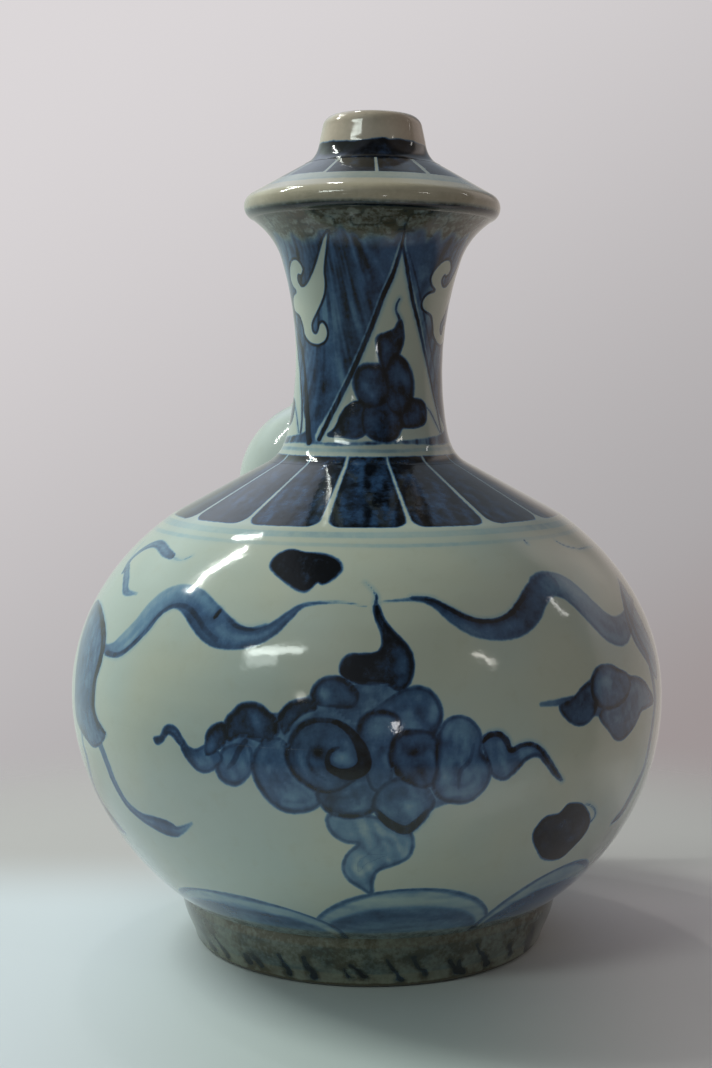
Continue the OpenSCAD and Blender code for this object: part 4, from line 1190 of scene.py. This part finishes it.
startAngle, cutAngle = math.asin(bulb["mouthR"] / bulb["r"]), shoulderCut(bulb["r"])
fromAxis = startAngle + np.linspace(1.0, 0.0, bulb["rows"])[:, None] * (cutAngle - startAngle)[None, :]
bulbOuter = bulbPoint(bulb["r"], fromAxis)
arcLeft = (cutAngle[None, :] - fromAxis) * bulb["r"]
fillet = np.maximum(1.0 - arcLeft / (bulb["filletReach"] * bulb["fillet"]), 0.0) ** bulb["filletCurve"]
outWay = unit(bulbOuter - bulbMid)
shoulderWay = unit(np.stack([bulbOuter[..., 0], bulbOuter[..., 1], np.full(fromAxis.shape, bulb["skinRise"])], -1))
alongSkin = outWay - (outWay * shoulderWay).sum(-1, keepdims=True) * shoulderWay
bulbOuter = bulbOuter + (bulb["fillet"] * fillet)[..., None] * alongSkin
inR = bulb["r"] - bulb["wall"]
inStart = math.asin(bulb["innerR"] / inR)
inShare = np.linspace(0.0, 1.0, bulb["innerRows"])[:, None]
bulbInner = bulbPoint(inR, inStart + inShare * (shoulderCut(inR) - inStart)[None, :])
bulbSheet = blankSheet(np.tile(roundBulb, bulb["rows"]), (fromAxis * bulb["r"]).ravel(),
                       (np.sin(fromAxis) * bulb["r"]).ravel())


def paintBulb(sheet):
    # lotus petals outlined from the nozzle outwards, with a pale wash at their roots and a line at each end
    step, run = fullTurn / bulb["petals"], sheet["run"]
    off = np.abs(around(np.mod(sheet["angle"] + 0.5 * step, step) - 0.5 * step)) / (0.5 * step)
    edge = bulb["root"] + (bulb["tip"] - bulb["root"]) * np.sqrt(np.maximum(1.0 - off ** 2.2, 0.0))
    d = (run - edge) * 0.55
    layWash(sheet, everywhere, d + 0.8, 0.10 + 0.22 * ease(-run, -20.0, -14.0))
    layRim(sheet, everywhere, d, bulb["line"], bulb["tone"])
    layLine(sheet, everywhere, np.abs(run - bulb["hoop"]) - 0.5, 0.6)


paintBulb(bulbSheet)
spoutGlaze = cobaltGlaze("spoutGlaze", colour(0.47, 0.52, 0.46), colour(0.45, 0.51, 0.48), speckle=0.5)
spoutBulb = meshPiece("spoutBulb", np.concatenate([bulbOuter, bulbInner]), True, spoutGlaze, bulbSheet,
                      ("spout_bulb", "spout_slip"))

# nozzle: spread foot, straight side, round tip, bore, all about the spout's axis
nozzle = {"boreR": 3.6, "wall": 2.4, "spread": 6.0, "spreadH": 8.0, "length": 14.0, "columns": 160, "rows": 64,
          "hoops": ((9.6, 0.35, 0.5), (10.9, 0.25, 0.4)), "stain": 0.2}          # height, half width, strength
rise = np.linspace(0.0, 1.0, 26)
boreR, tip = nozzle["boreR"], nozzle["wall"] / 2.0
outR, footR = boreR + nozzle["wall"], boreR + nozzle["wall"] + nozzle["spread"]
nozzleFoot = np.stack([outR + nozzle["spread"] * (1.0 - np.sqrt(rise * (2.0 - rise))), nozzle["spreadH"] * rise], 1)
tipArc = arc((boreR + tip, nozzle["length"] - tip), tip, 0.0, math.pi, 18)
nozzleOuter = spread(np.concatenate([[[footR, -0.5]], nozzleFoot, tipArc]), nozzle["rows"])
nozzleProfile = np.concatenate([nozzleOuter, [[boreR, 9.0], [boreR, 4.0], [boreR, -0.6]]])
roundNozzle = np.arange(nozzle["columns"]) * fullTurn / nozzle["columns"]
nozzleGrid = (bulbMid + (bulb["seat"] + nozzleProfile[:, 1])[:, None, None] * spoutAxis
              + (nozzleProfile[:, :1] * np.cos(roundNozzle)[None, :])[..., None] * spoutSide
              + (nozzleProfile[:, :1] * np.sin(roundNozzle)[None, :])[..., None] * spoutUp)
nozzleSheet = sheetFor(nozzleOuter, roundNozzle, runAlong(nozzleOuter))
for z, half, tone in nozzle["hoops"]:
    layLine(nozzleSheet, everywhere, np.abs(nozzleSheet["z"] - z) - half, tone)
nozzleSheet["stain"] = nozzle["stain"] * ease(nozzleSheet["z"], nozzle["length"] - 1.4, nozzle["length"])
spoutNozzle = meshPiece("spoutNozzle", nozzleGrid[:, ::-1], True, spoutGlaze, nozzleSheet,
                        ("spout_nozzle", "nozzle_slip"))
print("pieces ready")

# floor: a disc that keeps the pot's shadow, with painted light and shade in its colour: brighter on the window's
# side, darker in the middle, lightest at the right and darker further back; it thins out into the backdrop
stage = {"floorLeft": colour(0.68, 0.72, 0.77), "floorMid": colour(0.50, 0.57, 0.56),
         "floorRight": colour(0.95, 0.88, 0.89), "floorFar": colour(0.52, 0.50, 0.50),
         "solidTo": 0.13, "goneAt": 0.25, "radius": 0.3, "rings": 50, "spokes": 96, "rough": 0.8, "specular": 0.15}
rings, spokes = stage["rings"], stage["spokes"]
ringR = np.concatenate([[0.001], np.linspace(0.01, stage["radius"], rings)])
ringA = np.linspace(0.0, fullTurn, spokes + 1)[:-1]
floorCo = np.stack([np.outer(ringR, wave) for wave in (np.cos(ringA), np.sin(ringA), 0.0 * ringA)], -1)
i, j = np.meshgrid(np.arange(rings) * spokes, np.arange(spokes), indexing="ij")
k, m = i + spokes, (j + 1) % spokes
floorFaces = np.stack([i + j, k + j, k + m, i + m], -1).reshape(-1, 4)
floorMesh = bpy.data.meshes.new("floor")
floorMesh.from_pydata(floorCo.reshape(-1, 3).tolist(), [], floorFaces.tolist() + [list(range(spokes))])
floorMesh.update()
floor = bpy.data.objects.new("floor", floorMesh)
bpy.context.scene.collection.objects.link(floor)
floorPaint, tree, matt, place = newMaterial("floorPaint")
length = tree.nodes.new("ShaderNodeVectorMath")
length.operation = "LENGTH"
plug(length.inputs[0], place)
acrossFloor = along(place, rightWay)
paintedFloorLight = blendColour(ramp(acrossFloor, 0.0, 1.0, -0.085, 0.0), stage["floorLeft"], stage["floorMid"])
paintedFloorLight = blendColour(ramp(acrossFloor, 0.0, 1.0, 0.01, 0.075), paintedFloorLight, stage["floorRight"])
paintedFloorLight = blendColour(ramp(along(place, awayWay), 0.0, 1.0, 0.01, 0.07), paintedFloorLight, stage["floorFar"])
plug(matt.inputs["Base Color"], paintedFloorLight)
plug(matt.inputs["Alpha"], ramp(Wire(tree, length.outputs["Value"]), 1.0, 0.0, stage["solidTo"], stage["goneAt"]))
plug(matt.inputs["Roughness"], stage["rough"])
plug(matt.inputs["Specular IOR Level"], stage["specular"])
floorMesh.materials.append(floorPaint)

# room: pale backdrop behind the pot, dim behind the camera, cooler on the window's side; the camera sees the
# backdrop's colour, which falls off downwards and to the right
room = {"back": 0.60, "front": 0.17, "cool": colour(0.86, 1.0, 0.95), "warm": colour(1.12, 1.0, 0.93),
        "blue": colour(0.90, 1.0, 1.13), "sheet": colour(1.02, 0.975, 0.99), "sheetLow": colour(0.94, 0.83, 0.83),
        "sheetDim": 0.36, "sheetBright": 0.70}
world = bpy.data.worlds.new("room")
bpy.context.scene.world = world
world.use_nodes = True
tree = world.node_tree
way = Wire(tree, tree.nodes.new("ShaderNodeTexCoord").outputs["Generated"])
sideways, deep, upward = (along(way, axis) for axis in (rightWay, awayWay, upWay))
aside = calc("ABSOLUTE", sideways)
depth = deep - calc("MAXIMUM", upward, 0.0) * 0.45
softEdge = ramp(depth, room["front"], room["back"], -0.3, 0.5)             # the window's side
hardEdge = ramp(depth, room["front"], room["back"], 0.02, 0.2)
behind = (hardEdge - softEdge) * ramp(sideways, 0.0, 1.0, -0.6, 0.4) + softEdge
behind = behind * ramp(sideways, 1.15, 0.66, -0.8, 0.8)
# pale sheets high at both sides with a gap between, and a dim patch above the backdrop
sheetRight = ramp(sideways, 0.0, 0.55, 0.42, 0.62) * ramp(upward, 0.0, 1.0, 0.15, 0.4)
leftLift = ramp(sideways, 0.55, 0.0, -0.3, 0.0) * ramp(upward, 0.0, 1.0, 0.32, 0.55)
rightDrop = ramp(sideways, 0.0, 0.45, 0.02, 0.25) * ramp(upward, 0.0, 1.0, 0.1, 0.35)
rightDrop = rightDrop * ramp(sideways, 1.0, 0.0, 0.42, 0.62)
behind = behind * (sheetRight + leftLift - rightDrop + 1.0) * ramp(upward - aside, 1.0, 0.3, 0.52, 0.76)
sky = ramp(aside, 1.0, 0.0, 0.34, 0.5) * ramp(upward, 0.0, 1.0, 0.2, 0.4)
tint = blendColour(ramp(sideways, 0.0, 1.0, -0.6, 0.5), room["cool"], room["warm"])
walls = blendColour(1.0, blendColour(sky, tint, room["blue"]), behind, "MULTIPLY")
fall = upward * 0.56 - sideways * 0.33
sheetTint = blendColour(ramp(fall, 1.0, 0.0, -0.18, -0.10), room["sheet"], room["sheetLow"])
backdrop = blendColour(1.0, sheetTint, ramp(fall, room["sheetDim"], room["sheetBright"], -0.2, 0.2), "MULTIPLY")
rays = tree.nodes.new("ShaderNodeLightPath").outputs
seen = calc("MAXIMUM", Wire(tree, rays["Is Camera Ray"]), Wire(tree, rays["Is Transmission Ray"]))
plug(tree.nodes["Background"].inputs["Color"], blendColour(seen, walls, backdrop))
plug(tree.nodes["Background"].inputs["Strength"], 1.0)

# lamps: where they stand and which way their long side runs, to the right, away and up from the pot's middle
# in metres, their size, their radiance, which sets how bright they show in the glaze, and their tint
tubeWay, plain, cool, warm = (0.78, 0.26, 0.57), (1.0, 0.0, 0.0), (0.90, 1.0, 0.94), (1.0, 1.0, 0.95)
lamps = {
    "tubeLeft": ((-0.765, 0.250, 0.905), tubeWay, (0.43, 0.014), 190.0, (0.95, 1.0, 0.93)),
    "tubeSoft": ((-0.765, 0.252, 0.908), tubeWay, (0.50, 0.36), 8.6, (0.95, 1.0, 0.93)),
    "tubeGlow": ((-0.765, 0.252, 0.908), tubeWay, (0.48, 0.13), 8.0, (0.93, 1.0, 0.93)),
    "tubeEnd": ((-0.546, 0.442, 0.991), (0.654, -0.489, 0.578), (0.16, 0.012), 110.0, (0.95, 1.0, 0.95)),
    "windowLeft": ((-0.633, -0.785, 0.722), (0.82, -0.55, 0.30), (0.44, 0.11), 9.5, cool),
    "windowLow": ((-0.735, -0.770, 0.625), (0.82, -0.54, 0.30), (0.26, 0.17), 4.0, cool),
    "lampRight": ((0.816, -0.735, 0.608), (0.6, 0.1, -0.5), (0.19, 0.045), 9.5, (1.0, 0.96, 0.88)),
    "lampRightHigh": ((1.014, 0.164, 0.683), (0.58, -0.04, -0.81), (0.16, 0.03), 6.0, (1.0, 0.98, 0.95)),
    "lampFront": ((0.21, -1.18, 0.0), plain, (0.05, 0.06), 12.0, (1.0, 1.0, 1.0)),
    "lampNear": ((-0.47, -1.07, 0.29), plain, (0.07, 0.03), 7.0, warm),
    "lampBack": ((-0.176, 0.592, 1.045), (0.05, -0.3, 0.2), (0.10, 0.05), 40.0, warm),
}
potMiddle = np.array([0.0, 0.0, 0.075])
toWorld = np.stack([rightWay, awayWay, upWay])
for name, (at, longSide, size, radiance, tint) in lamps.items():
    data = bpy.data.lights.new(name, "AREA")
    data.shape, data.color = "RECTANGLE", tint
    data.size, data.size_y = size
    data.energy = radiance * math.pi * size[0] * size[1]
    light = bpy.data.objects.new(name, data)
    offset = np.asarray(at) @ toWorld
    zAxis = unit(offset)
    xAxis = np.asarray(longSide) @ toWorld
    xAxis = unit(xAxis - (xAxis @ zAxis) * zAxis)
    light.location = tuple(potMiddle + offset)
    light.rotation_euler = Matrix(np.stack([xAxis, np.cross(zAxis, xAxis), zAxis], 1).tolist()).to_euler()
    light.visible_camera = False
    light.visible_glossy = name != "tubeSoft"         # that one only softens the shadows
    bpy.context.scene.collection.objects.link(light)

# camera at the photograph's angle
camData = bpy.data.cameras.new("camera")
camData.sensor_fit = "AUTO"
camData.sensor_width = viewpoint["sensor"]
camData.lens = viewpoint["focal"] / viewpoint["longSide"] * viewpoint["sensor"]
camData.clip_start = 0.01
cam = bpy.data.objects.new("camera", camData)
cam.location = tuple((upWay * viewpoint["height"] - awayWay * viewpoint["distance"]) * mm)
cam.rotation_euler = (math.radians(90.0 - viewpoint["pitch"]), 0.0, turn + math.radians(viewpoint["yaw"]))
bpy.context.scene.collection.objects.link(cam)
bpy.context.scene.camera = cam
bpy.context.scene.view_settings.view_transform = "Standard"
print("stage ready")
